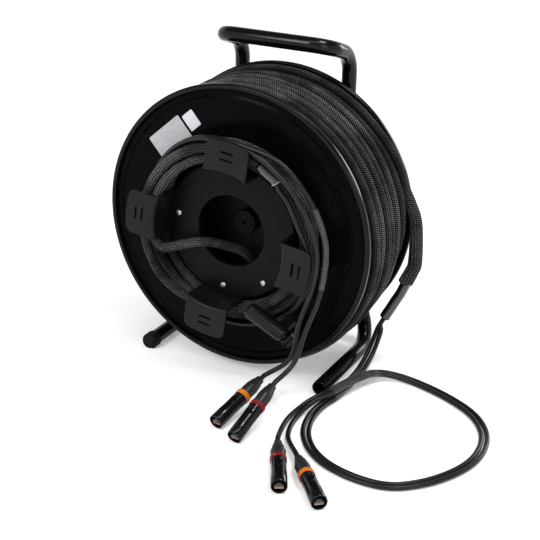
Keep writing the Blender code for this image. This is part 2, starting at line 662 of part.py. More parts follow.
def make_brake():
    pivot = new_empty("brake_pivot", (BRAKE_X, 0, 0), STAND)
    back = POST_Y + PLATE_SHEET / 2
    turned("brake_bush", ring_outline(STUD_RADIUS + GAP, BRAKE_BUSH_RADIUS,
                                      back - BRAKE_BUSH_LENGTH, back), ZINC, STAND,
           Matrix.Translation((BRAKE_X, 0, 0)) @ ALONG_AXLE, steps=20)
    pad = PLATE_FACE + BRAKE_OPEN
    turned("brake_pad", disc_outline(BRAKE_PAD_RADIUS, pad, pad + BRAKE_PAD_HEIGHT), RUBBER,
           pivot, steps=20)
    stud = pad + BRAKE_PAD_HEIGHT + GAP
    under = REAR_Y - KNOB_HEIGHT
    knob = turned("brake_knob", [(0, REAR_Y), (KNOB_RADIUS, REAR_Y), (KNOB_RADIUS, under),
                                 (STUD_RADIUS, under), (STUD_RADIUS, stud), (0, stud)],
                  GRIP_PLASTIC, pivot, steps=36)
    for number in range(KNOB_LOBES):
        angle = math.tau * number / KNOB_LOBES
        notch = rod(f"knob_notch_{number}", KNOB_NOTCH, 2 * KNOB_HEIGHT,
                    Matrix.Translation(around(KNOB_RADIUS + KNOB_NOTCH / 2, angle,
                                              under - KNOB_HEIGHT / 2)) @ ALONG_AXLE,
                    GRIP_PLASTIC, pivot, steps=12, collection=CUTTERS)
        combine(knob, notch, "DIFFERENCE")


# Crank: a spinning grip on a lug that folds on a pin

def make_crank():
    """The crank frame has +X along the grip, +Y along the pin and +Z away from the flange."""
    grip_way = around(1, CRANK_ANGLE, 0)
    outward = Vector((0, -1, 0))
    pin_way = outward.cross(grip_way)
    flat = Matrix((grip_way, pin_way, outward)).transposed().to_4x4()
    height = -PLATE_FACE - CRANK_HEIGHT
    pin = around(FLANGE_RADIUS - CRANK_INSET, CRANK_TURN, height)
    seat = new_empty("crank_seat", pin, DRUM_PIVOT, flat)
    fold = new_empty("crank_fold_pivot", (0, 0, 0), seat, Matrix.Rotation(-CRANK_LEAN, 4, "Y"))
    across = Matrix.Rotation(math.radians(-90), 4, "X")
    base_low = GAP - CRANK_HEIGHT
    ears = LUG_WIDTH / 2 + GAP + EAR_WALL
    bracket = block("crank_bracket", (BRACKET_LENGTH, 2 * ears, BRACKET_SHEET),
                    Matrix.Translation((0, 0, base_low + BRACKET_SHEET / 2)), ZINC, seat)
    for side, middle in (("left", EAR_WALL / 2 - ears), ("right", ears - EAR_WALL / 2)):
        tall = CRANK_HEIGHT - GAP - BRACKET_SHEET / 2
        post = block(f"crank_ear_{side}", (2 * EAR_RADIUS, EAR_WALL, tall),
                     Matrix.Translation((0, middle, base_low + BRACKET_SHEET / 2 + tall / 2)),
                     ZINC, seat)
        combine(bracket, post, "UNION")
        eye = rod(f"crank_eye_{side}", EAR_RADIUS, EAR_WALL,
                  Matrix.Translation((0, middle - EAR_WALL / 2, 0)) @ across, ZINC, seat, steps=20)
        combine(bracket, eye, "UNION")
    bore = rod("crank_ear_bore", PIN_RADIUS + GAP, 4 * ears,
               Matrix.Translation((0, -2 * ears, 0)) @ across, ZINC, seat, steps=16,
               collection=CUTTERS)
    combine(bracket, bore, "DIFFERENCE")
    end = ears + GAP
    turned("crank_pin", [(0, -end - PIN_HEAD_HEIGHT), (PIN_HEAD, -end - PIN_HEAD_HEIGHT),
                         (PIN_HEAD, -end), (PIN_RADIUS, -end), (PIN_RADIUS, end), (PIN_HEAD, end),
                         (PIN_HEAD, end + PIN_HEAD_HEIGHT), (0, end + PIN_HEAD_HEIGHT)], ZINC,
           seat, place=across, steps=16)
    lug = rod("crank_lug", LUG_RADIUS, LUG_WIDTH,
              Matrix.Translation((0, -LUG_WIDTH / 2, 0)) @ across, ZINC, fold, steps=20)
    grip_axis = Matrix.Rotation(math.radians(90), 4, "Y")
    spindle = rod("crank_spindle", SPINDLE_RADIUS, GRIP_END, grip_axis, ZINC, fold,
                  steps=16)
    combine(lug, spindle, "UNION")
    head = rod("crank_spindle_head", SPINDLE_HEAD, SPINDLE_HEAD_HEIGHT,
               Matrix.Translation((GRIP_END - SPINDLE_HEAD, 0, 0)) @ grip_axis,
               ZINC, fold, steps=16)
    combine(lug, head, "UNION")
    pin_bore = rod("crank_lug_bore", PIN_RADIUS + GAP, 2 * LUG_WIDTH,
                   Matrix.Translation((0, -LUG_WIDTH, 0)) @ across, ZINC, fold, steps=16,
                   collection=CUTTERS)
    combine(lug, pin_bore, "DIFFERENCE")
    start, end = GRIP_START, GRIP_END
    bore_radius = SPINDLE_RADIUS + GAP
    pocket = SPINDLE_HEAD + GAP
    shoulder = end - SPINDLE_HEAD - GAP
    soft = GRIP_SOFT
    turned("crank_grip", [(GRIP_RADIUS - soft, end), (GRIP_RADIUS, end - soft),
                          (GRIP_RADIUS, start + soft), (GRIP_RADIUS - soft, start),
                          (bore_radius, start), (bore_radius, shoulder), (pocket, shoulder),
                          (pocket, end)], GRIP_PLASTIC, fold, grip_axis, steps=24)


# Labels

def make_labels():
    middle = around(FLANGE_RADIUS - LABEL_INSET, LABEL_TURN, -PLATE_FACE - GAP - LABEL_SHEET / 2)
    grey = Matrix.Translation(middle) @ Matrix.Rotation(LABEL_SLANT, 4, "Y")
    white = grey @ Matrix.Translation(((GREY_WIDTH + WHITE_WIDTH) / 2 + LABEL_SPACE, 0, 0))
    block("label_grey", (GREY_WIDTH, LABEL_SHEET, GREY_HEIGHT), grey, GREY_PAPER,
          round_edges=LABEL_CORNER)
    block("label_white", (WHITE_WIDTH, LABEL_SHEET, WHITE_HEIGHT), white, WHITE_PAPER,
          round_edges=LABEL_CORNER)


# Cable wound on the drum

def wind_point(left):
    """A point on the outer layer; left is the angle still to go to its end."""
    angle = EXIT_ANGLE + left
    y = WIND_END_Y - WIND_PITCH * left / math.tau
    sag = Vector((0, y, -WIND_SAG))
    loose = sag + around(WIND_RADIUS, angle, 0)
    sunk = around(SUNK_RADIUS, angle, y)
    if left > math.tau:
        return loose
    if left > math.tau - SINK_ANGLE:
        return sunk.lerp(loose, along([(0, 0), (1, 1)], (left - math.tau + SINK_ANGLE) / SINK_ANGLE))
    rise = max(0.0, 1 - left / RAMP_ANGLE)
    return around(SUNK_RADIUS + (EXIT_RADIUS - SUNK_RADIUS) * rise ** RAMP_POWER, angle, y)


def exit_way():
    tangent = Vector((math.sin(EXIT_ANGLE), 0, -math.cos(EXIT_ANGLE)))
    return tangent * math.cos(EXIT_SLOPE) + around(math.sin(EXIT_SLOPE), EXIT_ANGLE, 0)


def wind_points():
    step = math.tau / WIND_POINTS
    count = round(WIND_LOOPS * WIND_POINTS)
    points = [wind_point(step * number) for number in range(count, 0, -1)]
    last = wind_point(0)
    return points + [last - exit_way() * SLEEVE_DIAMETER, last]


def make_winding():
    points = wind_points()
    print(f"cable_layer: least gap to itself {least_gap(points, SLEEVE_DIAMETER) * 1000:.2f} mm")
    curve_tube("cable_layer", points, SLEEVE_DIAMETER, 1, BRAID)
    high = (WIND_RADIUS - WIND_SAG) * WIND_CHORD - SLEEVE_DIAMETER / 2 - WIND_CLEARANCE
    low = SUNK_RADIUS * WIND_CHORD - SLEEVE_DIAMETER / 2 - WIND_CLEARANCE
    half = FLANGE_INSIDE / 2 - GAP
    shelf = WIND_END_Y - WIND_PITCH - SLEEVE_DIAMETER / 2 - WIND_CLEARANCE
    bore = BARREL_RADIUS + GAP
    turned("cable_core", [(high, -half), (high, shelf), (low, shelf), (low, half), (bore, half),
                          (bore, -half)], BRAID)


# Outgoing end, from the drum to the floor

# Points of the way: x, y and the height above the floor
OUT_SLEEVE = [(0.1975, 0.0570, 0.2150), (0.2030, 0.0580, 0.1940), (0.2045, 0.0590, 0.1730),
              (0.2015, 0.0600, 0.1510), (0.1960, 0.0605, 0.1320), (0.1890, 0.0610, 0.1160)]
OUT_PAIR = [(0.1640, 0.0560, 0.0630), (0.1590, 0.0530, 0.0460), (0.1570, 0.0430, 0.0290),
            (0.1560, 0.0250, 0.0140), (0.1555, 0.0000, 0.0050), (0.1560, -0.0300, 0.0036),
            (0.1565, -0.0600, 0.0036), (0.1540, -0.0850, 0.0036), (0.1500, -0.1080, 0.0036),
            (0.1510, -0.1400, 0.0036), (0.1610, -0.1740, 0.0036), (0.1810, -0.2030, 0.0036),
            (0.2070, -0.2230, 0.0036), (0.2360, -0.2340, 0.0036), (0.2680, -0.2380, 0.0036),
            (0.3000, -0.2320, 0.0036), (0.3300, -0.2060, 0.0036), (0.3520, -0.1700, 0.0036),
            (0.3630, -0.1320, 0.0036), (0.3610, -0.0920, 0.0036), (0.3480, -0.0590, 0.0036),
            (0.3250, -0.0320, 0.0036), (0.2930, -0.0120, 0.0036), (0.2560, 0.0030, 0.0036),
            (0.2220, 0.0110, 0.0040), (0.1960, 0.0070, 0.0074), (0.1790, -0.0080, 0.0115),
            (0.1670, -0.0320, 0.0128), (0.1580, -0.0600, 0.0128), (0.1515, -0.0830, 0.0124)]
OUT_RED = [(0.1375, -0.1060, 0.0100), (0.1290, -0.1270, 0.0045), (0.1275, -0.1570, 0.0036),
           (0.1340, -0.1890, 0.0052)]
OUT_ORANGE = [(0.1455, -0.1070, 0.0125), (0.1375, -0.1290, 0.0070), (0.1370, -0.1620, 0.0036),
              (0.1490, -0.1980, 0.0045)]
RED_REST = ((0.1485, -0.2240), 298.6)        # rear of the connector and the way it points
ORANGE_REST = ((0.1850, -0.2420), 311.5)


def vectors(points):
    return [Vector(point) for point in points]


def above_floor(points):
    """Points whose third number is their height above the floor."""
    return [Vector((x, y, height - AXLE_HEIGHT)) for x, y, height in points]


def beside(points, offset):
    """A route beside another, to its right by an offset."""
    ways = [(after - before) for before, after in zip([points[0], *points], [*points[1:], points[-1]])]
    return [point + side_of(way) * offset for point, way in zip(points, ways)]


def connector(prefix, rear, front, colour):
    """A cable connector that points from rear to front: boot, coloured ring, shell, insert."""
    way = (front - rear).normalized()
    side = way.cross(Vector((0, 0, 1))).normalized()
    lift = side.cross(way)
    place = Matrix.Translation(rear) @ Matrix((side, lift, way)).transposed().to_4x4()
    parent = STAND if prefix.startswith("out") else DRUM_PIVOT
    turned(prefix + "_boot", [(0, BOOT_LENGTH), (BOOT_FRONT, BOOT_LENGTH),
                              (BOOT_FRONT, BOOT_TAPER), (BOOT_REAR, 0), (0, 0)],
           PLASTIC, parent, place, PLUG_STEPS)
    ring = BOOT_LENGTH + GAP
    turned(prefix + "_ring", disc_outline(RING_RADIUS, ring, ring + RING_LENGTH), colour, parent,
           place, PLUG_STEPS)
    start, end = ring + RING_LENGTH + GAP, PLUG_TOTAL
    turned(prefix + "_shell", [(0, end - RECESS_DEPTH), (RECESS_RADIUS, end - RECESS_DEPTH),
                               (RECESS_RADIUS, end), (SHELL_RADIUS, end), (SHELL_RADIUS, start),
                               (0, start)][::-1], CONNECTOR, parent, place, PLUG_STEPS)
    middle = end - RECESS_DEPTH + GAP + INSERT_LENGTH / 2
    block(prefix + "_insert", (INSERT_WIDTH, INSERT_HEIGHT, INSERT_LENGTH),
          place @ Matrix.Translation((0, 0, middle)), INSERT, parent)


def lying_connector(prefix, rest, colour):
    """A connector lying flat on the floor; returns its rear point and its direction."""
    (x, y), degrees = rest
    way = Vector((math.cos(math.radians(degrees)), math.sin(math.radians(degrees)), 0))
    rear = Vector((x, y, RING_RADIUS + GAP - AXLE_HEIGHT))
    connector(prefix, rear, rear + way * PLUG_TOTAL, colour)
    return rear, way


def square_ended(points, start_way, end_way, diameter):
    """A smooth tube route whose ends run straight, square to what they meet."""
    first, last = points[0], points[-1]
    straight = ROUTE_LEAD * diameter
    lead, trail = first + start_way * straight, last - end_way * straight
    route = smooth_route([first, lead, *points[1:-1], trail, last],
                         ROUTE_SPACING * diameter)
    inner = [point for point in route
             if min((point - first).length, (point - last).length) > ROUTE_CLEAR * diameter]
    return [first, lead, *inner, trail, last]


def side_of(way):
    """The level direction to the right of a way."""
    return way.cross(Vector((0, 0, 1))).normalized()


def make_outgoing():
    start = wind_point(0) + exit_way() * GAP
    route = [start, *above_floor(OUT_SLEEVE)]
    leave = (route[-1] - route[-2]).normalized()
    curve_tube("out_sleeve", square_ended(route, exit_way(), leave, SLEEVE_DIAMETER),
               SLEEVE_DIAMETER, 2, BRAID, STAND)
    pair = above_floor(OUT_PAIR)
    joint = route[-1] + leave * GAP
    shrink_way = (pair[0] - joint).normalized()
    shrink_end = pair[0] - shrink_way * GAP
    shrink = [joint, joint + leave * HEATSHRINK_DIAMETER,
              shrink_end - shrink_way * HEATSHRINK_DIAMETER, shrink_end]
    curve_tube("out_heatshrink", shrink, HEATSHRINK_DIAMETER, 2, SHRINK, STAND)
    for colour, side, rest, last_stretch, material in (
            ("red", 1, RED_REST, OUT_RED, RED), ("orange", -1, ORANGE_REST, OUT_ORANGE, ORANGE)):
        rear, way = lying_connector(f"out_{colour}", rest, material)
        strand = beside(pair, side * PAIR_SPACING / 2)
        strand[0] = pair[0] + side_of(shrink_way) * side * PAIR_SPACING / 2
        points = strand + above_floor(last_stretch) + [rear - way * GAP]
        curve_tube(f"out_cable_{colour}", square_ended(points, shrink_way, way, CABLE_DIAMETER),
                   CABLE_DIAMETER, 2, CABLE, STAND)


# Tail: from the hub, round the hooks and down to the floor

TAIL_ENTRY = [(0.0240, -0.0353, -0.0560), (0.0220, -0.0570, -0.0450), (0.0180, -0.0665, -0.0335),
              (0.0120, -0.0780, -0.0230), (0.0020, -0.0865, -0.0180), (-0.0140, -0.0890, -0.0160),
              (-0.0360, -0.0900, -0.0180), (-0.0580, -0.0940, -0.0240), (-0.0760, -0.1000, -0.0300),
              (-0.0880, -0.1025, -0.0325), (-0.0975, -0.1027, -0.0270)]
TAIL_ROUTE = vectors(TAIL_ENTRY)
TAIL_ORANGE = [(0.0760, -0.1085, 0.1045), (0.1160, -0.1115, 0.0660), (0.1360, -0.1135, 0.0290),
               (0.1400, -0.1140, 0.0060), (0.1385, -0.1140, -0.0200), (0.1300, -0.1140, -0.0530),
               (0.1190, -0.1135, -0.0830), (0.1145, -0.1130, -0.1030), (0.1125, -0.1120, -0.1220),
               (0.1080, -0.1105, -0.1390), (0.0980, -0.1090, -0.1530), (0.0850, -0.1095, -0.1630)]
TAIL_RED = [(0.0820, -0.1015, 0.1120), (0.1240, -0.1040, 0.0720), (0.1450, -0.1060, 0.0300),
            (0.1485, -0.1070, 0.0060), (0.1470, -0.1080, -0.0200), (0.1410, -0.1090, -0.0540),
            (0.1315, -0.1110, -0.0820), (0.1240, -0.1125, -0.1050), (0.1205, -0.1140, -0.1240),
            (0.1165, -0.1175, -0.1410), (0.1095, -0.1270, -0.1530)]
TAIL_ORANGE_NOSE = (0.0600, -0.2130)
TAIL_RED_NOSE = (0.0960, -0.2360)
TAIL_ORANGE_REAR = (0.0737, -0.1304, -0.1710)
TAIL_RED_REAR = (0.1020, -0.1510, -0.1630)


def tail_level(turns):
    """How far a turn of the tail lies in front of the flange plate."""
    return TAIL_DEEP + TAIL_LAYER * along(TAIL_LAYERS, turns)


def tail_radius(turns):
    """How far a turn lies from the axle: it starts inside, goes out, and crosses once more."""
    return TAIL_INNER + (TAIL_OUTER - TAIL_INNER) * along(TAIL_RINGS, turns)


def tail_point(turns):
    angle = TAIL_START_ANGLE - math.tau * turns
    return around(tail_radius(turns), angle, -PLATE_FACE - tail_level(turns))


def thin_point(turns, forward):
    """A point of the two thin cables, which leave the sleeve and go once more round."""
    radius = along([(THIN_START, TAIL_OUTER), (THIN_START + THIN_SPREAD, THIN_RADIUS)], turns)
    level = along([(THIN_START + THIN_SINK[0], tail_level(TAIL_LOOPS)),
                   (THIN_START + THIN_SINK[1], THIN_DEEP), (THIN_LEAVE - THIN_RISE, THIN_DEEP),
                   (THIN_LEAVE, THIN_HIGH)], turns)
    angle = TAIL_START_ANGLE - math.tau * turns
    return around(radius, angle, -PLATE_FACE - level - forward)


def leaning_ends(nose, rear):
    """Ends of a connector that stands on its nose's edge, its rear held up by its cable."""
    rear = Vector(rear)
    level = (Vector((nose[0], nose[1], 0)) - Vector((rear.x, rear.y, 0))).normalized()
    drop = rear.z + AXLE_HEIGHT - GAP
    lean = 0.0
    for step in range(LEAN_STEPS):
        lean = math.asin((drop - SHELL_RADIUS * math.cos(lean)) / PLUG_TOTAL)
    way = level * math.cos(lean) - Vector((0, 0, math.sin(lean)))
    return rear, rear + way * PLUG_TOTAL, way


def make_tail():
    start = TAIL_ROUTE[0]
    entry = smooth_route([start - Vector((0, TAIL_DIAMETER, 0)), *TAIL_ROUTE[1:],
                          tail_point(-1 / WIND_POINTS)], TAIL_DIAMETER)
    turns = [number / WIND_POINTS for number in range(round(TAIL_LOOPS * WIND_POINTS) + 1)]
    points = [start] + entry + [tail_point(turn) for turn in turns]
    way = (tail_point(THIN_START) - points[-1]).normalized()
    points.append(points[-1] + way * TAIL_DIAMETER)
    print(f"tail_coil: least gap to itself {least_gap(points, TAIL_DIAMETER) * 1000:.2f} mm")
    curve_tube("tail_coil", points, TAIL_DIAMETER, 1, BRAID)
    joint = points[-1] + way * GAP
    shrink_end = joint + way * HEATSHRINK_LENGTH
    curve_tube("tail_heatshrink", [joint, joint.lerp(shrink_end, 0.5), shrink_end],
               HEATSHRINK_DIAMETER, 2, SHRINK)
    for colour, material, forward, route, nose, rear in (
            ("orange", ORANGE, PAIR_SPACING / 2, TAIL_ORANGE, TAIL_ORANGE_NOSE, TAIL_ORANGE_REAR),
            ("red", RED, -PAIR_SPACING / 2, TAIL_RED, TAIL_RED_NOSE, TAIL_RED_REAR)):
        rear, front, lean_way = leaning_ends(nose, rear)
        connector(f"tail_{colour}", rear, front, material)
        first = shrink_end + way * GAP - Vector((0, forward, 0))
        count = round((THIN_LEAVE - THIN_START) * WIND_POINTS)
        wound = [thin_point(THIN_START + number / WIND_POINTS, forward)
                 for number in range(2, count + 1)]
        points = [first, *wound, *vectors(route), rear - lean_way * GAP]
        curve_tube(f"tail_cable_{colour}", square_ended(points, way, lean_way, CABLE_DIAMETER),
                   CABLE_DIAMETER, 2, CABLE, DRUM_PIVOT)


make_drum()
make_hub()
for hook_number, hook_name in enumerate(HOOK_NAMES):
    make_hook(hook_name, hook_angle(hook_number))
make_axle()
make_stand()
make_brake()
make_crank()
make_labels()
make_winding()
make_outgoing()
make_tail()
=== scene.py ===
"""Looks of the network cable reel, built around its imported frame.

Metres, +Z up. Shapes are modelled from the drum's centre, as in the frame: x to the right,
y along the axle away from the hooks, z up.
"""
import json
from contextlib import contextmanager
from math import asin, copysign, cos, exp, pi, radians, sin, sqrt, tan, tau as TAU

import bmesh
import bpy
import numpy as np
from mathutils import Matrix, Vector

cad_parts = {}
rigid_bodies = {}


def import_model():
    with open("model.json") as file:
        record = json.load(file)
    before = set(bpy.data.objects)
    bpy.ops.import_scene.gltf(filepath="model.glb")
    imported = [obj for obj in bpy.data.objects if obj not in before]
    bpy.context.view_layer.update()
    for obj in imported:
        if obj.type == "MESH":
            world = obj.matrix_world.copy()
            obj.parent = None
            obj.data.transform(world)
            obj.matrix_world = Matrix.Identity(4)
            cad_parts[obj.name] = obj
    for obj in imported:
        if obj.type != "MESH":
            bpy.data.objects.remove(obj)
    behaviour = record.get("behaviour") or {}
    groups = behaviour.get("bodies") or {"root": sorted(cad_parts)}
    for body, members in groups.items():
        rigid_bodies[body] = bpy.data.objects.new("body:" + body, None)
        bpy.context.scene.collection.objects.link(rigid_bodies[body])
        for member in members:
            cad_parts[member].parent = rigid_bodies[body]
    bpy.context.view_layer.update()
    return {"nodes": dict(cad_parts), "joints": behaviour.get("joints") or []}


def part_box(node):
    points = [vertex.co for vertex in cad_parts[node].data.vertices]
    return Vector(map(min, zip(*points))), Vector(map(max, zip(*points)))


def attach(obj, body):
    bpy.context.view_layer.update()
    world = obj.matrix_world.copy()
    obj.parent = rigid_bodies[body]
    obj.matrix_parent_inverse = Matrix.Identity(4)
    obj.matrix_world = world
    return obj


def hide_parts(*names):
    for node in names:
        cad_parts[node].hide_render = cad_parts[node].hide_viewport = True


for item in list(bpy.data.objects):
    bpy.data.objects.remove(item, do_unlink=True)

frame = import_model()

# Taken from the frame
NEAR_LOW, NEAR_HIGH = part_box("near_flange")
FAR_LOW, FAR_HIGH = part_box("far_flange")
FLANGE_RADIUS = (NEAR_HIGH.x - NEAR_LOW.x) / 2
AXLE_HEIGHT = (NEAR_HIGH.z + NEAR_LOW.z) / 2
DRUM = Vector((0, (NEAR_LOW.y + FAR_HIGH.y) / 2, AXLE_HEIGHT))
FLANGE_INSIDE = FAR_LOW.y - NEAR_HIGH.y
HOOK_FACE = DRUM.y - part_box("hook_top")[0].y

# Drum and hub
GAP = 0.0003
FLANGE_SHEET = 0.0016
FLANGE_STEPS = 200
RIM_DEPTH = 0.0074
RIM_WIDTH = 0.0076
RIM_ROUND = 0.0016
GROOVE_WIDTH = 0.0074
STEP_WIDTH = 0.003
PLATE_RAISE = 0.002
FLANGE_OPENING = 0.072
BUSH_COLLAR = 0.0025
HUB_RADIUS = 0.092
HUB_HOLE = 0.048
HUB_FACE_HEIGHT = 0.0108
HUB_WALL = 0.003
HUB_PLATE_DEPTH = 0.046
HUB_EDGE = 0.0016
HUB_STEPS = 160
CAP_RADIUS = 0.0165
CAP_HEIGHT = 0.0095
SLIT_LENGTH = 0.0075
SLIT_WIDTH = 0.0009
SLIT_DEPTH = 0.001
CAP_WALL = 0.0015
CAP_RIM = 0.003
CAP_RELIEF = 0.0008
CROSS_WIDTH = 0.005
CROSS_LENGTH = 0.01
HUB_TURN = radians(-8)
SCREW_RING = 0.0785
SCREW_RADIUS = 0.004
SCREW_HEIGHT = 0.0022
SCREW_SHAPE = ((0, 1), (0.45, 0.97), (0.8, 0.78), (1, 0.3), (1, 0), (0, 0))
RECESS_WIDTH = 0.0009
RECESS_LENGTH = 0.0042
EXTRA_SCREW_ANGLE = radians(308)
HOOK_WIDTH = 0.06
HOOK_WALL = 0.003
HOOK_REACH = 0.134
HOOK_BEND = 0.005
HOOK_CORNER = 0.007
HOOK_EDGE = 0.0006
HOOK_STEPS = 26
HOOK_BEND_STEPS = 5
SLOT_LENGTH = 0.018
SLOT_WIDTH = 0.003
SLOT_SIDES = 24
SLOT_RADII = (0.11, 0.1195)
HOOKS = ("hook_right", "hook_top", "hook_left", "hook_bottom")
HOOK_ANGLES = [HUB_TURN + radians(90) * number for number in range(len(HOOKS))]

# Crank grip
GRIP_LENGTH = 0.057
GRIP_RADIUS = 0.011
GRIP_SOFT = 0.0024
GRIP_BORE = 0.0045
GRIP_WELL = 0.0062
GRIP_WELL_DEPTH = 0.0055

# Stand
TUBE_RADIUS = 0.01
TUBE_BORE = 0.0083
TUBE_LIP = 0.0005
BORE_DEPTH = 0.03
FOOT_FLAT = 0.0008
FOOT_X = 0.132
FOOT_FRONT = -0.078
POST_X = 0.08
POST_Y = 0.092
WAIST_Z = -0.075
SHOULDER_Z = 0.206
GRIP_Y = 0.024
GRIP_Z = 0.228
BENDS = (0.045, 0.06, 0.035, 0.028)
BEND_STEPS = 14
TUBE_SIDES = 36
FOOT_CAP_LENGTH = 0.016
FOOT_CAP_RADIUS = 0.0115

# Wound cable
SLEEVE_DIAMETER = 0.0156
WIND_PITCH = 0.0166
WIND_LOOPS = 6.75
WIND_RADIUS = 0.186
WIND_SAG = 0.006
EXIT_ANGLE = radians(16)
EXIT_RADIUS = 0.187
RAMP_ANGLE = radians(30)
RAMP_POWER = 1.4
SINK_ANGLE = radians(60)
EXIT_SLOPE = radians(12)
LANE_GAP = 0.0006
WIND_CLEARANCE = 0.0006
WIND_STEPS = 380                # rings in one turn
WIND_SIDES = 22
SLEEVE_CELLS = 7                # braid cells round the large sleeve
WIND_NARROW = 0.81              # the sleeve's width across the lanes, of its diameter
WIND_TALL = 0.97
WIND_VARIES = 0.022
WIND_SWAY = 0.0007
WIND_DROPS = ((1.0, 0.003), (1.6, 0.0026), (2.2, 0.0), (3.0, 0.0012), (3.9, 0.0), (4.6, 0.0022),
    (5.4, 0.0), (6.75, 0.001))
WIND_TONES = ((0.0, 0.3), (1.2, 0.35), (2.0, 1.0), (2.6, 0.55), (3.2, 0.95), (4.0, 0.5), (4.5, 0.9),
    (5.2, 1.0), (5.8, 0.75), (6.75, 0.9))
WIND_DIVE = radians(40)         # in which the first turn comes up from the layer below
DIVE_DEPTH = 0.012              # how deep both ends of the winding go
DIVE_PART = 6                   # the far end dives in a sixth of a turn
MEET_SHADE = 0.92                # painted shade: how much darker the braid is where the turns meet
UNDER_RADIUS = 0.1732           # the layer below lies in the grooves between the turns
UNDER_DEEP = 0.1605             # and deeper beside the sunk last turn
UNDER_STEPS = 120
UNDER_SIDES = 16
# painted shade: the braid of the layer below keeps this share of its brightness
UNDER_SHADE = 0.15
UNDER_START = radians(60)       # clear of the turn that comes off, at every turn of the drum
LAST_TURN = radians(284)        # the turn that comes off, back from the exit
LAST_RISE = radians(50)
LAST_BURIED = 0.0025
MOUTH_WIDE = 1.33               # the outgoing sleeve's width at its mouth, of its diameter
MOUTH_TURN = 1.05               # its wide side faces the viewer
MOUTH_ASIDE = 0.14
SLEEVE_RUN = 0.145
SLEEVE_STEP = 0.0012
MOUTH_ROUND = 0.005
# the outer turn's and the outgoing sleeve's floats keep this share of their brightness; the sleeve gets
# lighter towards its mouth
OUT_TONE = 0.45

# Tail
TAIL_DIAMETER = 0.013
TAIL_CELLS = 6
TAIL_SIDES = 30
TAIL_START_ANGLE = radians(172)
TAIL_LOOPS = 3 + 1 / 3
TAIL_INNER = 0.1032
TAIL_OUTER = 0.1172
TAIL_DEEP = 0.0073
TAIL_LAYER = 0.014
TAIL_LAYERS = ((0, 2), (0.5, 0), (1.78, 0), (2.0, 1), (2.7, 1), (2.9, 2))
TAIL_RINGS = ((1.0, 0), (1.22, 1), (2.45, 1), (2.62, 0), (2.7, 0), (2.9, 1))
TURN_POINTS = 24
TAIL_STEP = 0.0015
CABLE_STEP = 0.004
CABLE_SIDES = 20
THIN_EVERY = 8
SHRINK_DIAMETER = 0.0138
SHRINK_LENGTH = 0.03
SHRINK_SIDES = 40
SHRINK_STEP = 0.001
SHRINK_ROUND = 0.0012
SHRINK_BACK = 0.036             # how far along the coil the tail's joint lies before the CAD's
MOUTH_DEPTH = 0.008
CLEAR_RADIUS = 0.0041
CLEAR_STEP = 0.003
CLEAR_LOOSE = 0.0012
CLEAR_FLAT = 0.0034             # half the space between the two cables in the wide clear sleeve
CABLE_DIAMETER = 0.0064
PAIR_SPACING = 0.0074
THIN_RADIUS = 0.1285
THIN_DEEP = 0.0082
THIN_HIGH = 0.0375
THIN_LEAVE = 4.27
THIN_SPREAD = 0.14
THIN_SINK = (0.1, 0.28)
THIN_RISE = 0.22

# Connectors
PLUG_TOTAL = 0.092
BOOT_LENGTH = 0.034
BOOT_TAPER = 0.0187
BOOT_REAR = 0.0056
BOOT_FRONT = 0.0089
BOOT_STEP = 0.0008              # the boot's rear widens in two steps
BOOT_STEPS_AT = (0.0075, 0.0078)
BOOT_BORE_DEPTH = 0.004
BOOT_CORE = 0.004               # the boot is round within this radius
BOOT_FLAT = 0.1
RIB_HEIGHT = 0.0007
RIB_SPREAD = 0.05
RIB_START = 0.008
RIB_RISE = 0.002
RIB_END = 0.003                 # back from the boot's front
RING_LENGTH = 0.0065
RING_RADIUS = 0.0101
RING_EDGE = 0.0005
RING_GROOVE = 0.00042
SHELL_RADIUS = 0.00975
SHELL_NECK = 0.0003             # how much thinner the shell is round its grooves
SHELL_GROOVES = 3
SHELL_GROOVE = 0.001
SHELL_GROOVE_START = 0.0022
SHELL_GROOVE_PITCH = 0.0024
SHELL_GROOVE_LENGTH = 0.0015
SHELL_EASE = 0.0004
SHELL_WIDENS = (0.028, 0.02)    # back from the mouth
MOUTH_EDGE = 0.0006
LATCH_SIZE = (0.0028, 0.0016, 0.0105)
LATCH_SPOT = (-0.002, 0.0165)   # aside and along
LATCH_TURN = 0.5
KEY_SIZE = (0.0022, 0.001, 0.011)
KEY_SPOT = (-0.94, 0.34, 0.03)  # aside and up as shares of the radius, and along
KEY_TURN = 1.22
RECESS_RADIUS = 0.0083
RECESS_DEPTH = 0.012
INSERT_WIDTH = 0.0116
INSERT_HEIGHT = 0.008
INSERT_LENGTH = 0.0105
CONTACTS = 8
CONTACT_PITCH = 0.00125
CONTACT_SIZE = (0.0006, 0.0022, 0.0006)
HAIR = 0.0002                   # between surfaces that lie one inside the other

# Worked out from the sizes above
PLATE_FACE = FLANGE_INSIDE / 2 + PLATE_RAISE + FLANGE_SHEET
HUB_FACE = PLATE_FACE + HUB_FACE_HEIGHT
HUB_PLATE_Y = -HUB_FACE + HUB_PLATE_DEPTH
FOOT_Z = TUBE_RADIUS - FOOT_FLAT - AXLE_HEIGHT
SUNK_RADIUS = EXIT_RADIUS - SLEEVE_DIAMETER - WIND_CLEARANCE
WIND_END_Y = FLANGE_INSIDE / 2 - LANE_GAP - SLEEVE_DIAMETER / 2
THIN_START = TAIL_LOOPS + (TAIL_DIAMETER + SHRINK_LENGTH) / (TAU * TAIL_OUTER)

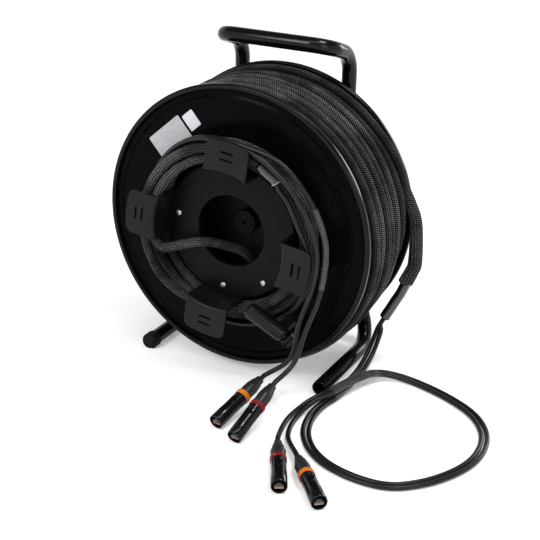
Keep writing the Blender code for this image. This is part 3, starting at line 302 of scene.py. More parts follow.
# Cord routes in millimetres, as in the CAD source. Those that start with OUT give heights above
# the floor, the others from the axle.
OUT_SLEEVE = [(197.5, 57, 215), (203, 58, 194), (204.5, 59, 173), (201.5, 60, 151), (196, 60.5, 132),
    (189, 61, 116)]
OUT_PAIR = [(164, 56, 63), (159, 53, 46), (157, 43, 29), (156, 25, 14), (155.5, 0, 5), (156, -30, 3.6),
    (156.5, -60, 3.6), (154, -85, 3.6), (150, -108, 3.6), (151, -140, 3.6), (161, -174, 3.6),
    (181, -203, 3.6), (207, -223, 3.6), (236, -234, 3.6), (268, -238, 3.6), (300, -232, 3.6),
    (330, -206, 3.6), (352, -170, 3.6), (363, -132, 3.6), (361, -92, 3.6), (348, -59, 3.6),
    (325, -32, 3.6), (293, -12, 3.6), (256, 3, 3.6), (222, 11, 4), (196, 7, 7.4), (179, -8, 11.5),
    (167, -32, 12.8), (158, -60, 12.8), (151.5, -83, 12.4)]
OUT_RED = [(137.5, -106, 10), (129, -127, 4.5), (127.5, -157, 3.6), (134, -189, 5.2)]
OUT_ORANGE = [(145.5, -107, 12.5), (137.5, -129, 7), (137, -162, 3.6), (149, -198, 4.5)]
TAIL_ENTRY = [(24, -35.3, -56), (22, -57, -45), (18, -66.5, -33.5), (12, -78, -23), (2, -86.5, -18),
    (-14, -89, -16), (-36, -90, -18), (-58, -94, -24), (-76, -100, -30), (-88, -102.5, -32.5),
    (-97.5, -102.7, -27)]
TAIL_ORANGE = [(76, -108.5, 104.5), (116, -111.5, 66), (136, -113.5, 29), (140, -114, 6),
    (138.5, -114, -20), (130, -114, -53), (119, -113.5, -83), (114.5, -113, -103), (112.5, -112, -122),
    (108, -110.5, -139), (98, -109, -153), (85, -109.5, -163)]
TAIL_RED = [(82, -101.5, 112), (124, -104, 72), (145, -106, 30), (148.5, -107, 6), (147, -108, -20),
    (141, -109, -54), (131.5, -111, -82), (124, -112.5, -105), (120.5, -114, -124),
    (116.5, -117.5, -141), (109.5, -127, -153)]

# Where their ends and clear sleeves lie, in metres
RED_REST = ((0.1485, -0.224), 298.6)
ORANGE_REST = ((0.185, -0.242), 311.5)
CLEAR_OUT = ((0.13, -0.084), (0.185, 0.002))   # where the outgoing pair's clear sleeve lies
CLEAR_TAIL = (-0.038, 0.064)                   # heights of the tail's clear sleeve
TAIL_ORANGE_NOSE = (0.06, -0.213)
TAIL_RED_NOSE = (0.096, -0.236)
TAIL_ORANGE_REAR = (0.0737, -0.1304, -0.171)
TAIL_RED_REAR = (0.102, -0.151, -0.163)
ROUTE_SPACING = 3               # this and the next two in diameters
ROUTE_LEAD = 1.5
ROUTE_CLEAR = 2.5
ROUTE_STEPS = 20
LEAN_STEPS = 20
CALM_STEPS = 12
SHORTEST = 1e-9
EDGE_SHARE = 0.45               # of an edge, the most that a soft corner takes
Y_WAY = (0.0, 1.0, 0.0)
moved, turned = Matrix.Translation, Matrix.Rotation
ALONG_AXLE = turned(radians(-90), 4, "X")   # local +Z to +Y
FACING_NEAR = turned(radians(90), 4, "X")   # local +Z to -Y
LOWEST = -AXLE_HEIGHT + GAP / 3  # level of the undersides of cables on the floor


# Materials

SPECULAR = "Specular IOR Level"
DUST_COLOUR = (0.1, 0.11, 0.13)


def feed(slot, value):
    """Gives an input a number or a colour, or links a wire to it."""
    if isinstance(value, Wire):
        slot.id_data.links.new(value.socket, slot)
    else:
        slot.default_value = (*value, 1.0) if isinstance(value, tuple) else value


def fill(node, inputs):
    for key, value in inputs.items():
        feed(node.inputs[key], value)


def make_node(tree, kind, output, inputs=(), **settings):
    """A new node with its settings and inputs. One of its outputs comes back as a wire."""
    made = tree.nodes.new("ShaderNode" + kind)
    for key, value in settings.items():
        setattr(made, key, value)
    fill(made, dict(inputs))
    return Wire(made.outputs[output])


class Wire:
    """An output that can be calculated with. Each step adds a node to its tree."""

    def __init__(self, socket):
        self.socket = socket
        self.tree = socket.id_data

    def math(self, operation, other=0.0):
        return make_node(self.tree, "Math", 0, {0: self, 1: other}, operation=operation)

    def __add__(self, other):
        return self.math("ADD", other)

    def __sub__(self, other):
        return self.math("SUBTRACT", other)

    def __mul__(self, other):
        return self.math("MULTIPLY", other)

    def spread(self, low, high, to_low=0.0, to_high=1.0):
        """The value mapped from one range to another, and kept in it."""
        return make_node(self.tree, "MapRange", 0, {0: self, 1: low, 2: high, 3: to_low, 4: to_high})

    def mix(self, first, second):
        """A colour between two, each a tuple or a wire."""
        return make_node(self.tree, "Mix", 2, {0: self, 6: first, 7: second}, data_type="RGBA")


def noise_of(tree, scale, detail=2.0, roughness=0.5):
    place = make_node(tree, "TexCoord", "Object")
    return make_node(tree, "TexNoise", "Fac", {"Vector": place, "Scale": scale, "Detail": detail,
        "Roughness": roughness})


def tinted(colour, factor):
    return tuple(factor * part for part in colour)


def new_material(name):
    material = bpy.data.materials.new(name)
    material.use_nodes = True
    return material, material.node_tree


def dressed(material, colour, roughness, relief, inputs):
    """Feeds a material's shader; relief is the height, strength and distance of its bump."""
    bump = make_node(material.node_tree, "Bump", "Normal",
        zip(("Height", "Strength", "Distance"), relief))
    fill(material.node_tree.nodes["Principled BSDF"], {"Base Color": colour, "Roughness": roughness,
        "Normal": bump, **inputs})
    return material


def paint(name, colour, roughness, specular, peel, dust):
    """Sprayed black paint with orange peel and specks of dust."""
    material, tree = new_material(name)
    specks = noise_of(tree, 480, 3.0, 0.75).spread(0.63, 0.74)
    cloud = noise_of(tree, 9, 4.0, 0.6).spread(0.42, 0.72)
    grey = (cloud * 0.35).mix(colour, tinted(colour, 1.6))
    matt = noise_of(tree, 24, 5.0, 0.65).spread(0.3, 0.8, roughness, roughness + 0.12)
    return dressed(material, (specks * cloud * dust).mix(grey, DUST_COLOUR),
        matt.math("MAXIMUM", specks * (0.5 * dust)), (noise_of(tree, 210), peel, 0.0006),
        {SPECULAR: specular})


def moulded(name, colour, roughness, grain=0.25, scuffs=0.5, specular=0.4):
    """Moulded plastic with a fine spark grain and faint scuffs."""
    material, tree = new_material(name)
    worn = noise_of(tree, 38, 6.0, 0.7).spread(0.52, 0.75)
    fine = noise_of(tree, 1500)
    pale = (worn * scuffs).math("MAXIMUM", fine.spread(0.55, 0.75) * 0.25)
    return dressed(material, pale.mix(colour, tinted(colour, 2.4)),
        worn.spread(0.0, 1.0, roughness, roughness - 0.12), (fine, grain, 0.0004), {SPECULAR: specular})


def braid(name, pitch, light, dark, cover):
    """Braided sleeve: rows of strand floats, each crossed by the strands of the other family.
    The floats take the light colour, a painted glint on the strand crossings, over the dark one.
    The attribute holds the length along the sleeve, the cells counted round it, and how much the
    glints are dimmed there: some turns are darker, with painted shade where turns meet or lie below."""
    material, tree = new_material(name)
    place = make_node(tree, "Attribute", "Vector", attribute_name="weave")
    split = make_node(tree, "SeparateXYZ", 0, {0: place}).socket.node
    length, cell, tone_and_shade = (Wire(output) for output in split.outputs)
    u = length * (1 / pitch) + noise_of(tree, 55) * 1.4
    v = cell + noise_of(tree, 70) * 0.5
    wave, other = ((way * pi).math("SINE").math("ABSOLUTE") for way in (u + v, u - v))
    height = wave * other
    shade = height.spread(1 - cover, 1.0 - 0.35 * cover)
    patches = noise_of(tree, 17, 4.0, 0.6).spread(0.38, 0.62, 0.16, 1.0)
    strands = noise_of(tree, 800).spread(0.35, 0.65, 0.5, 1.0)
    # painted glints: the light colour on the floats stands in for glints on the strand crossings
    painted_glints = (shade * patches) * (strands * tone_and_shade)
    return dressed(material, painted_glints.mix(dark, light), height.spread(0.2, 1.0, 0.8, 0.38),
        (height, 1.0, 0.0008), {SPECULAR: 0.1})


def metal(name, colour, roughness):
    material, tree = new_material(name)
    cloud = noise_of(tree, 260, 4.0, 0.6)
    return dressed(material, cloud.mix(tinted(colour, 0.8), colour),
        cloud.spread(0.3, 0.7, roughness, roughness + 0.15), (noise_of(tree, 900), 0.15, 0.0002),
        {"Metallic": 1.0})


def paper(name, colour, crease):
    """Blank label film: faint creases, rubbed patches and dirt."""
    material, tree = new_material(name)
    folds = (noise_of(tree, 70, 3.0, 0.6) - 0.5).math("ABSOLUTE")
    dirt = noise_of(tree, 160, 6.0, 0.75).spread(0.5, 0.72)
    # darker along the crease lines, and with dirt
    darker_creases_and_dirt = (folds.spread(0.0, 0.012, 1.0, 0.0) * crease).math("MAXIMUM", dirt * 0.45)
    return dressed(material, darker_creases_and_dirt.mix(colour, tinted(colour, 0.55)), dirt.spread(0.0, 1.0, 0.42, 0.6),
        (folds, 0.3, 0.0006), {SPECULAR: 0.2})


def jacket(name, colour, roughness, specular, streak=0.4, coat=0.0):
    """Smooth cable jacket with a soft sheen and finger marks."""
    material, tree = new_material(name)
    marks = noise_of(tree, 95, 5.0, 0.7)
    return dressed(material, marks.spread(0.5, 0.8, 0.0, streak).mix(colour, tinted(colour, 2.2)),
        marks.spread(0.3, 0.7, roughness, roughness + 0.12), (noise_of(tree, 420, 3.0), 0.12, 0.0004),
        {SPECULAR: specular, "Coat Weight": coat, "Coat Roughness": 0.1})


def clear_film(name):
    """Clear tubing, dusty and scratched, that lets the cables show through."""
    material, tree = new_material(name)
    dust = noise_of(tree, 120, 5.0, 0.65)
    return dressed(material, (0.22, 0.22, 0.23), dust.spread(0.35, 0.7, 0.08, 0.25),
        (noise_of(tree, 60), 0.1, 0.001), {"Alpha": dust.spread(0.4, 0.75, 0.12, 0.26),
        "Coat Weight": 1.0, "Coat Roughness": 0.06})


FRAME_PAINT = paint("gloss_black_paint", (0.0026, 0.0026, 0.0032), 0.12, 0.2, 0.08, 0.5)
PLATE_PAINT = paint("drum_black_paint", (0.0014, 0.0016, 0.002), 0.22, 0.028, 0.1, 1.6)
RIM_PAINT = paint("drum_rim_paint", (0.002, 0.0021, 0.0026), 0.12, 0.15, 0.05, 0.4)
HUB_PLASTIC = moulded("hub_plastic", (0.0034, 0.0032, 0.0032), 0.4, specular=0.08)
HOOK_PLASTIC = moulded("hook_plastic", (0.0055, 0.0053, 0.0052), 0.36, specular=0.15)
GRIP_PLASTIC = moulded("grip_plastic", (0.005, 0.0048, 0.0048), 0.3, 0.12, specular=0.2)
BOOT_PLASTIC = moulded("boot_plastic", (0.0165, 0.0165, 0.0175), 0.36, 0.15, 0.3, 0.24)
RUBBER = moulded("black_rubber", (0.006, 0.006, 0.006), 0.6, 0.3, specular=0.08)
SHELL_PAINT = paint("connector_black", (0.003, 0.003, 0.0036), 0.14, 0.26, 0.006, 0.2)
# In both braids the light colour is a painted glint on the strand crossings
BRAID = braid("braided_sleeve", 0.0026, (0.42, 0.42, 0.45), (0.0008, 0.0008, 0.001), 0.5)
TAIL_BRAID = braid("tail_braid", 0.0025, (0.36, 0.355, 0.36), (0.0008, 0.0008, 0.0009), 0.48)
CABLE = jacket("cable_jacket", (0.0042, 0.0043, 0.0052), 0.32, 0.28)
SHRINK = jacket("heat_shrink", (0.0075, 0.007, 0.0068), 0.16, 0.45, coat=0.9)
SHRINK_EDGE = jacket("heat_shrink_edge", (0.4, 0.31, 0.2), 0.5, 0.1)
ZINC = metal("zinc_steel", (0.56, 0.57, 0.6), 0.26)
STEEL = metal("axle_steel", (0.45, 0.45, 0.46), 0.34)
BRONZE = metal("bronze_bush", (0.45, 0.3, 0.15), 0.4)
BRASS = metal("contact_brass", (0.5, 0.33, 0.17), 0.3)
ORANGE = jacket("orange_ring", (0.8, 0.2, 0.015), 0.4, 0.15, 0.1)
RED = jacket("red_ring", (0.24, 0.008, 0.014), 0.38, 0.15, 0.1)
PLUG_BODY = jacket("plug_body", (0.03, 0.028, 0.027), 0.16, 0.5, 0.8)
GREY_PAPER = paper("grey_label", (0.47, 0.48, 0.5), 0.7)
WHITE_PAPER = paper("white_label", (0.72, 0.73, 0.78), 0.3)
CLEAR = clear_film("clear_sleeve")


# Mesh helpers

def around(radius, angle, y):
    """A point at a radius and angle round the axle; angles run from +X towards +Z."""
    return Vector((radius * cos(angle), y, radius * sin(angle)))


def vectors(points):
    return [Vector(point) for point in points]


def axes_at(origin, right, up, out):
    """A matrix from local axes and their origin."""
    return moved(origin) @ Matrix((right, up, out)).transposed().to_4x4()


def smooth(mesh, angle=32):
    mesh.shade_smooth()
    mesh.set_sharp_from_angle(angle=radians(angle))


def new_mesh(name, verts, faces):
    mesh = bpy.data.meshes.new(name)
    mesh.from_pydata(verts, [], faces)
    return mesh


def add_object(name, data):
    thing = bpy.data.objects.new(name, data)
    bpy.context.scene.collection.objects.link(thing)
    return thing


def piece(name, mesh, material, body, stands_for=(), place=Matrix()):
    """Puts a mesh, made in the drum's frame, on a body and in place of CAD nodes."""
    thing = add_object(name, mesh)
    for finish in material if isinstance(material, tuple) else (material,):
        mesh.materials.append(finish)
    thing.matrix_world = moved(DRUM) @ place
    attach(thing, body)
    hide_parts(*stands_for)
    return thing


@contextmanager
def editing(mesh):
    """A mesh's shape, which is written back when it has been changed."""
    shape = bmesh.new()
    shape.from_mesh(mesh)
    yield shape
    shape.to_mesh(mesh)
    shape.free()


def softened(outline, radius, closed):
    """An outline with round corners, less where its edges are short. An open one starts and
    ends on the axis and stays sharp there."""
    points = vectors(outline)
    if closed:
        points = points[-1:] + points + points[:1]
    made = []
    for before, corner, after in zip(points, points[1:], points[2:]):
        back, ahead = before - corner, after - corner
        wanted = radius / tan(back.angle(ahead) / 2) if closed else radius
        reach = min(wanted, EDGE_SHARE * back.length, EDGE_SHARE * ahead.length)
        start, end = corner + back.normalized() * reach, corner + ahead.normalized() * reach
        made += [tuple(start * (1 - t) ** 2 + corner * 2 * t * (1 - t) + end * t * t)
            for t in (0.0, 0.25, 0.5, 0.75, 1.0)]
    return made if closed else [outline[0], *made, outline[-1]]


def lathe(name, outline, steps, material, body, stands_for=(), place=Matrix(), bevel=0.0,
        shape=None):
    """Turns a closed (radius, height) outline about local Z. Points on the axis close it there.
    shape(angle, radius, height) may change a point's radius."""
    area = sum(a[0] * b[1] - b[0] * a[1] for a, b in zip(outline, outline[1:] + outline[:1]))
    if area < 0:
        outline = outline[::-1]
    closed = min(radius for radius, height in outline) > SHORTEST
    if bevel:
        outline = softened(outline, bevel, closed)
    verts, faces = [], []
    count = len(outline)
    for step in range(steps):
        angle = TAU * step / steps
        for radius, height in outline:
            reach = shape(angle, radius, height) if shape else radius
            verts.append((reach * cos(angle), reach * sin(angle), height))
        here, there = step * count, (step + 1) % steps * count
        for i in range(count if closed else count - 1):
            j = (i + 1) % count
            faces.append((here + i, there + i, there + j, here + j))
    mesh = new_mesh(name, verts, faces)
    with editing(mesh) as solid:
        bmesh.ops.remove_doubles(solid, verts=solid.verts, dist=1e-7)
        bmesh.ops.recalc_face_normals(solid, faces=solid.faces)
    smooth(mesh)
    return piece(name, mesh, material, body, stands_for, place)


def skinned(name, rings):
    """A mesh with end faces through rings of points, and the vertices of its other faces."""
    count, sides = rings.shape[:2]
    i, j = np.meshgrid(np.arange(count - 1), np.arange(sides), indexing="ij")
    here, j = i.ravel() * sides, j.ravel()
    k = (j + 1) % sides
    quads = np.stack([here + j, here + k, here + sides + k, here + sides + j], 1)
    points = list(range(count * sides))
    faces = quads.tolist() + [points[:sides][::-1], points[-sides:]]
    return new_mesh(name, rings.reshape(-1, 3).tolist(), faces), quads


def bevelled(thing, width, segments=2, angle=35):
    step = thing.modifiers.new("edges", "BEVEL")
    step.width = width
    step.segments = segments
    step.limit_method = "ANGLE"
    step.angle_limit = radians(angle)
    step.harden_normals = False


def add_box(shape, size, place):
    """Adds a box of a size at a matrix and returns its vertices."""
    return bmesh.ops.create_cube(shape, size=1.0, matrix=place @ Matrix.Diagonal((*size, 1.0)))["verts"]


def boxes_mesh(name, boxes):
    """Several separate boxes in one mesh, each given by its size and matrix."""
    mesh = bpy.data.meshes.new(name)
    with editing(mesh) as shape:
        for size, place in boxes:
            add_box(shape, size, place)
    return mesh


def soften_edges(shape, width, segments, profile):
    bmesh.ops.bevel(shape, geom=list(shape.edges), offset=width, segments=segments, profile=profile,
        affect="EDGES")


def join_softened(thing, extra, width):
    """Adds closed shapes with softened edges to a piece's mesh."""
    with editing(extra) as shape:
        soften_edges(shape, width, 2, 0.6)
        shape.from_mesh(thing.data)
        shape.to_mesh(thing.data)
    bpy.data.meshes.remove(extra)
    smooth(thing.data, 35)


def cut_by(thing, cutter_mesh):
    """Cuts a piece by a closed mesh given in its own frame, for good."""
    cutter = add_object("cutter", cutter_mesh)
    cutter.matrix_world = thing.matrix_world
    step = thing.modifiers.new("cut", "BOOLEAN")
    step.operation = "DIFFERENCE"
    step.solver = "EXACT"
    step.object = cutter
    bpy.context.view_layer.update()
    made = bpy.data.meshes.new_from_object(thing.evaluated_get(bpy.context.evaluated_depsgraph_get()))
    thing.modifiers.clear()
    old = thing.data
    thing.data = made
    made.name = thing.name
    bpy.data.meshes.remove(old)
    bpy.data.objects.remove(cutter, do_unlink=True)
    smooth(made)


def tube(name, line, radius, sides, material, body, stands_for=(), scale=None, cells=0,
        ends=(0.0, 0.0), follow=None, tone_and_shade=1.0, lead=0, floor=LOWEST, sharp=50):
    """A tube along points. scale(lengths, angles) gives its radius factors, ring by ring.
    ends gives how far its start and end are rounded, follow a way that its frame keeps to, and
    lead how many of the first rings face as the next one does. The braid's attribute holds the
    length along the tube, the cells counted round it, and a number or a function like scale that
    dims the braid's floats by the tone of its turns and by painted shade."""
    line = np.array([tuple(point) for point in line])
    lengths = np.concatenate([[0], np.cumsum(np.linalg.norm(np.diff(line, axis=0), axis=1))])
    ways = np.gradient(line[lead:], axis=0)
    ways = np.vstack([np.repeat(ways[:1], lead, 0), ways])
    ways /= np.linalg.norm(ways, axis=1)[:, None]
    first = np.array((0.0, 0.0, 1.0) if abs(ways[0, 1]) > 0.9 else (0.0, 1.0, 0.0))
    normals = np.zeros_like(line)
    for i, way in enumerate(ways):
        first = np.array(follow) if follow else first
        first = first - way * (first @ way)
        first /= np.linalg.norm(first)
        normals[i] = first
    sides_way = np.cross(ways, normals)
    angles = np.arange(sides) * TAU / sides
    reach = np.full((len(line), sides), radius)
    if scale:
        reach = reach * scale(lengths[:, None], angles[None, :])
    for span, near in zip(ends, (lengths, lengths[-1] - lengths)):
        if span:
            share = np.clip(near / span, 0, 1)
            reach = reach * np.sqrt(np.clip(1 - (1 - share) ** 2, 0.02, 1))[:, None]
    rings = (line[:, None] + reach[..., None] * (np.cos(angles)[None, :, None] * normals[:, None]
        + np.sin(angles)[None, :, None] * sides_way[:, None]))
    rings[..., 2] = np.maximum(rings[..., 2], floor)
    mesh, quads = skinned(name, rings)
    if cells:
        value = np.ones((len(mesh.loops), 3), np.float32)
        value[:, :2] = 0.0
        shades = tone_and_shade(lengths[:, None], angles[None, :]) if callable(tone_and_shade) else tone_and_shade
        walls = value[:quads.size]
        walls[:, 0] = lengths[quads // sides].ravel()
        walls[:, 1] = ((quads[:, :1] % sides + np.array((0, 1, 1, 0))) / sides * cells).ravel()
        walls[:, 2] = np.broadcast_to(shades, reach.shape).reshape(-1)[quads].ravel()
        mesh.attributes.new("weave", "FLOAT_VECTOR", "CORNER").data.foreach_set("vector", value.ravel())
    smooth(mesh, sharp)
    return piece(name, mesh, material, body, stands_for)


# Routes, as in the CAD source

def along(stations, place):
    """A value between stations of (place, value), eased from one to the next."""
    for (start, low), (end, high) in zip(stations, stations[1:]):
        if place <= end:
            share = max(0.0, (place - start) / (end - start))
            return low + (high - low) * (1 - cos(pi * share)) / 2
    return stations[-1][1]


def rounded_path(corners, bends):
    """Points along straight runs whose inner corners are rounded with the given radii."""
    points = [corners[0]]
    for before, corner, after, bend in zip(corners, corners[1:], corners[2:], bends):
        back = (before - corner).normalized()
        ahead = (after - corner).normalized()
        half = back.angle(ahead) / 2
        reach = bend / tan(half)
        middle = corner + (back + ahead).normalized() * bend / sin(half)
        start, end = corner + back * reach, corner + ahead * reach
        normal = (start - middle).cross(end - middle).normalized()
        for step in range(BEND_STEPS + 1):
            turn = turned((pi - 2 * half) * step / BEND_STEPS, 3, normal)
            points.append(middle + turn @ (start - middle))
    points.append(corners[-1])
    return points


def spline(points):
    """Dense points along a smooth curve through a route's own points."""
    ends = [points[0] * 2 - points[1], *points, points[-1] * 2 - points[-2]]
    dense = []
    for a, b, c, d in zip(ends, ends[1:], ends[2:], ends[3:]):
        for t in (step / ROUTE_STEPS for step in range(ROUTE_STEPS)):
            dense.append(((b * 2) + (c - a) * t + (a * 2 - b * 5 + c * 4 - d) * t * t
                + (b * 3 - a - c * 3 + d) * t * t * t) / 2)
    return dense + [points[-1]]


def even(points, spacing):
    """The same line with evenly spaced points."""
    lengths = [0.0]
    for a, b in zip(points, points[1:]):
        lengths.append(lengths[-1] + (b - a).length)
    count = max(2, round(lengths[-1] / spacing))
    made, index = [], 0
    for number in range(count + 1):
        target = lengths[-1] * number / count
        while index < len(points) - 2 and lengths[index + 1] < target:
            index += 1
        part = (target - lengths[index]) / max(lengths[index + 1] - lengths[index], SHORTEST)
        made.append(points[index].lerp(points[index + 1], min(part, 1.0)))
    return made


def smooth_route(points, spacing):
    """Even points along a smooth curve through a route's own points."""
    return even(spline(points), spacing)


def square_ended(points, start_way, end_way, diameter):
    """A smooth tube route whose ends run straight, square to what they meet."""
    first, last = points[0], points[-1]
    straight = ROUTE_LEAD * diameter
    lead, trail = first + start_way * straight, last - end_way * straight
    route = smooth_route([first, lead, *points[1:-1], trail, last], ROUTE_SPACING * diameter)
    inner = [point for point in route
        if min((point - first).length, (point - last).length) > ROUTE_CLEAR * diameter]
    return [first, lead, *inner, trail, last]


def calmed(points):
    """A line whose short wiggles are averaged away; both its ends stay."""
    for _ in range(CALM_STEPS):
        inner = [(a + b * 2 + c) / 4 for a, b, c in zip(points[2:], points[3:], points[4:-2])]
        points = points[:3] + inner + points[-3:]
    return points


def length_of(points):
    return sum((b - a).length for a, b in zip(points, points[1:]))


def in_frame(points):
    """A line from the drum's frame in the row's frame."""
    return [tuple(point + DRUM) for point in points]


def from_mm(points, drop=0.0):
    """Places of a route given in millimetres, lowered by a drop."""
    return [Vector((x / 1000, y / 1000, z / 1000 - drop)) for x, y, z in points]


def above_floor(points):
    return from_mm(points, AXLE_HEIGHT)


def side_of(way):
    """The level direction to the right of a way."""
    return way.cross(Vector((0, 0, 1))).normalized()


def beside(points, offset):
    """A route beside another, to its right by an offset."""
    ways = [after - before for before, after in zip([points[0], *points], [*points[1:], points[-1]])]
    return [point + side_of(way) * offset for point, way in zip(points, ways)]


# Stand

def make_stand():
    half = vectors(((FOOT_X, FOOT_FRONT, FOOT_Z), (FOOT_X, POST_Y, FOOT_Z), (POST_X, POST_Y, WAIST_Z),
        (POST_X, POST_Y, SHOULDER_Z), (POST_X, GRIP_Y, GRIP_Z)))
    other = [Vector((-point.x, point.y, point.z)) for point in reversed(half)]
    other[-1].y = FOOT_FRONT + FOOT_CAP_LENGTH
    first, *rest = rounded_path(half + other, BENDS + BENDS[::-1])
    # The open right foot, as depths and radii: out of the bore, round the lip and along the outside
    mouth = ((BORE_DEPTH, TUBE_BORE), (BORE_DEPTH - GAP, TUBE_BORE), (TUBE_LIP, TUBE_BORE),
        (0, TUBE_BORE + TUBE_LIP), (GAP / 3, TUBE_RADIUS - TUBE_LIP), (TUBE_LIP + GAP, TUBE_RADIUS))
    line = [first + Vector((0, depth, 0)) for depth, radius in mouth] + rest
    factors = np.ones((len(line), 1))
    factors[:len(mouth), 0] = [radius / TUBE_RADIUS for depth, radius in mouth]
    tube("stand_tube", line, TUBE_RADIUS, TUBE_SIDES, FRAME_PAINT, "stand",
        ["frame_tube"], lambda lengths, angles: factors, lead=4, floor=-AXLE_HEIGHT, sharp=40)
    radius, soft = FOOT_CAP_RADIUS, 2 * (FOOT_CAP_RADIUS - TUBE_RADIUS)
    short, long = FOOT_CAP_LENGTH - GAP, FOOT_CAP_LENGTH + GAP
    cap = lathe("foot_cap", [(0, 0), (radius - soft, 0), (radius, soft), (radius, short),
        (TUBE_BORE, short), (TUBE_BORE - GAP, long), (0, long)], 64, RUBBER, "stand",
        ["foot_cap_left"], moved((-FOOT_X, FOOT_FRONT, FOOT_Z)) @ ALONG_AXLE, bevel=0.0006)
    # Its underside is flat where it stands on the floor
    lift = AXLE_HEIGHT + FOOT_Z
    for vertex in cap.data.vertices:
        vertex.co.y = min(vertex.co.y, lift)


# Drum

def flange_outline(bore, side):
    inside = FLANGE_INSIDE / 2
    rim = FLANGE_RADIUS - RIM_WIDTH
    groove = rim - GROOVE_WIDTH
    plate = groove - STEP_WIDTH
    across = [(bore, PLATE_RAISE), (bore, PLATE_RAISE + FLANGE_SHEET),
        (plate, PLATE_RAISE + FLANGE_SHEET), (groove, FLANGE_SHEET), (rim, FLANGE_SHEET),
        (rim, RIM_DEPTH - RIM_ROUND), (rim + RIM_ROUND, RIM_DEPTH),
        (FLANGE_RADIUS - RIM_ROUND, RIM_DEPTH), (FLANGE_RADIUS, RIM_DEPTH - RIM_ROUND),
        (FLANGE_RADIUS, RIM_ROUND), (FLANGE_RADIUS - RIM_ROUND, 0), (groove - FLANGE_SHEET / 2, 0),
        (plate - FLANGE_SHEET / 2, PLATE_RAISE)]
    return [(radius, side * (inside + depth)) for radius, depth in across]


def make_drum():
    for name, bore, side, stands_for in (("flange_near", FLANGE_OPENING, -1, "near_flange"),
            ("flange_far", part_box("rear_bush")[1].x + GAP - BUSH_COLLAR, 1, "far_flange")):
        flange = lathe(name, flange_outline(bore, side), FLANGE_STEPS, (PLATE_PAINT, RIM_PAINT), "drum",
            [stands_for], ALONG_AXLE, bevel=0.0014)
        for face in flange.data.polygons:
            reach = face.center.xy.length
            face.material_index = int(reach > FLANGE_RADIUS - RIM_WIDTH + RIM_ROUND)
    foot, back = PLATE_FACE + GAP, HUB_FACE - HUB_WALL
    outer, inner = HUB_RADIUS - HUB_WALL, HUB_HOLE + HUB_WALL
    hub = lathe("hub_ring", [(HUB_RADIUS, foot), (HUB_RADIUS, HUB_FACE), (HUB_HOLE, HUB_FACE),
        (HUB_HOLE, foot), (inner, foot), (inner, back), (outer, back), (outer, foot)], HUB_STEPS,
        HUB_PLASTIC, "drum", ["hub_cover"], FACING_NEAR, bevel=HUB_EDGE)
    slits = []
    for angle in HOOK_ANGLES:
        for side in (-1, 1):
            place = (HUB_RADIUS - HUB_EDGE - SLIT_LENGTH / 2, side * HOOK_WIDTH / 2, HUB_FACE)
            slits.append(((SLIT_LENGTH, SLIT_WIDTH, 2 * SLIT_DEPTH),
                turned(-angle, 4, "Z") @ moved(place)))
    cut_by(hub, boxes_mesh("slits", slits))
    front = -HUB_PLATE_Y + GAP
    top = front + CAP_HEIGHT
    flat, wall, back = CAP_RADIUS - CAP_RIM, CAP_RADIUS - CAP_WALL, top - CAP_WALL
    cap = lathe("bearing_cover", [(0, top), (flat, top), (flat, top + CAP_RELIEF),
        (CAP_RADIUS - CAP_WALL / 2, top + CAP_RELIEF), (CAP_RADIUS, back), (CAP_RADIUS, front),
        (wall, front), (wall, back), (0, back)], 72, HUB_PLASTIC, "drum", ["bearing_cap"],
        FACING_NEAR, bevel=0.0004)
    lifted = moved((0, 0, top))
    bars = [((2 * CROSS_LENGTH, CROSS_WIDTH, 2 * CAP_RELIEF), lifted),
        ((CROSS_WIDTH, 2 * CROSS_LENGTH, 2 * CAP_RELIEF), lifted)]
    join_softened(cap, boxes_mesh("cross", bars), 0.0003)


def hook_mesh(name):
    """One hook in its own frame: +X out from the axle, +Y across, +Z towards the viewer."""
    inner = HUB_RADIUS + GAP
    outer = inner + HOOK_WALL
    foot, back = PLATE_FACE + GAP, HOOK_FACE - HOOK_WALL
    quarter = [pi / 2 * number / HOOK_BEND_STEPS for number in range(HOOK_BEND_STEPS + 1)]
    bend_out, bend_in = ([(start + bend * (1 - cos(t)), top - bend * (1 - sin(t))) for t in quarter]
        for start, top, bend in ((inner, HOOK_FACE, HOOK_BEND), (outer, back, 0.6 * HOOK_BEND)))
    rings = []
    half = HOOK_WIDTH / 2
    for step in range(HOOK_STEPS + 1):
        # The rings stand closer at both sides, where the corners are round
        crowded = -cos(pi * step / HOOK_STEPS)
        w = half * (0.55 * (2 * step / HOOK_STEPS - 1) + 0.45 * crowded)
        over = max(0.0, abs(w) - half + HOOK_CORNER)
        reach = HOOK_REACH - HOOK_CORNER + sqrt(max(HOOK_CORNER ** 2 - over ** 2, 0))
        outline = [(inner, foot), *bend_out, (reach, HOOK_FACE), (reach, back), *bend_in[::-1],
            (outer, foot)]
        rings.append([(sqrt(radius ** 2 - w ** 2), w, height) for radius, height in outline])
    mesh = skinned(name, np.array(rings))[0]
    with editing(mesh) as shape:
        bmesh.ops.recalc_face_normals(shape, faces=shape.faces)
    smooth(mesh, 40)
    return mesh


def slot_cutter(radius):
    """A slot with round ends through a hook's plate."""
    half, end = (SLOT_LENGTH - SLOT_WIDTH) / 2, SLOT_WIDTH / 2
    ring = []
    for number in range(SLOT_SIDES):
        angle = TAU * (number + 0.5) / SLOT_SIDES
        ring.append((radius + end * cos(angle), copysign(half, sin(angle)) + end * sin(angle)))
    levels = (HOOK_FACE - 3 * HOOK_WALL, HOOK_FACE + HOOK_WALL)
    return skinned("slot", np.array([[(x, y, z) for x, y in ring] for z in levels]))[0]


def make_hooks():
    for name, angle in zip(HOOKS, HOOK_ANGLES):
        hook = piece(name.replace("hook", "cable_hook"), hook_mesh(name), HOOK_PLASTIC, "drum",
            [name], turned(-angle, 4, "Y") @ FACING_NEAR)
        for radius in SLOT_RADII:
            cut_by(hook, slot_cutter(radius))
        bevelled(hook, HOOK_EDGE, 3, 50)


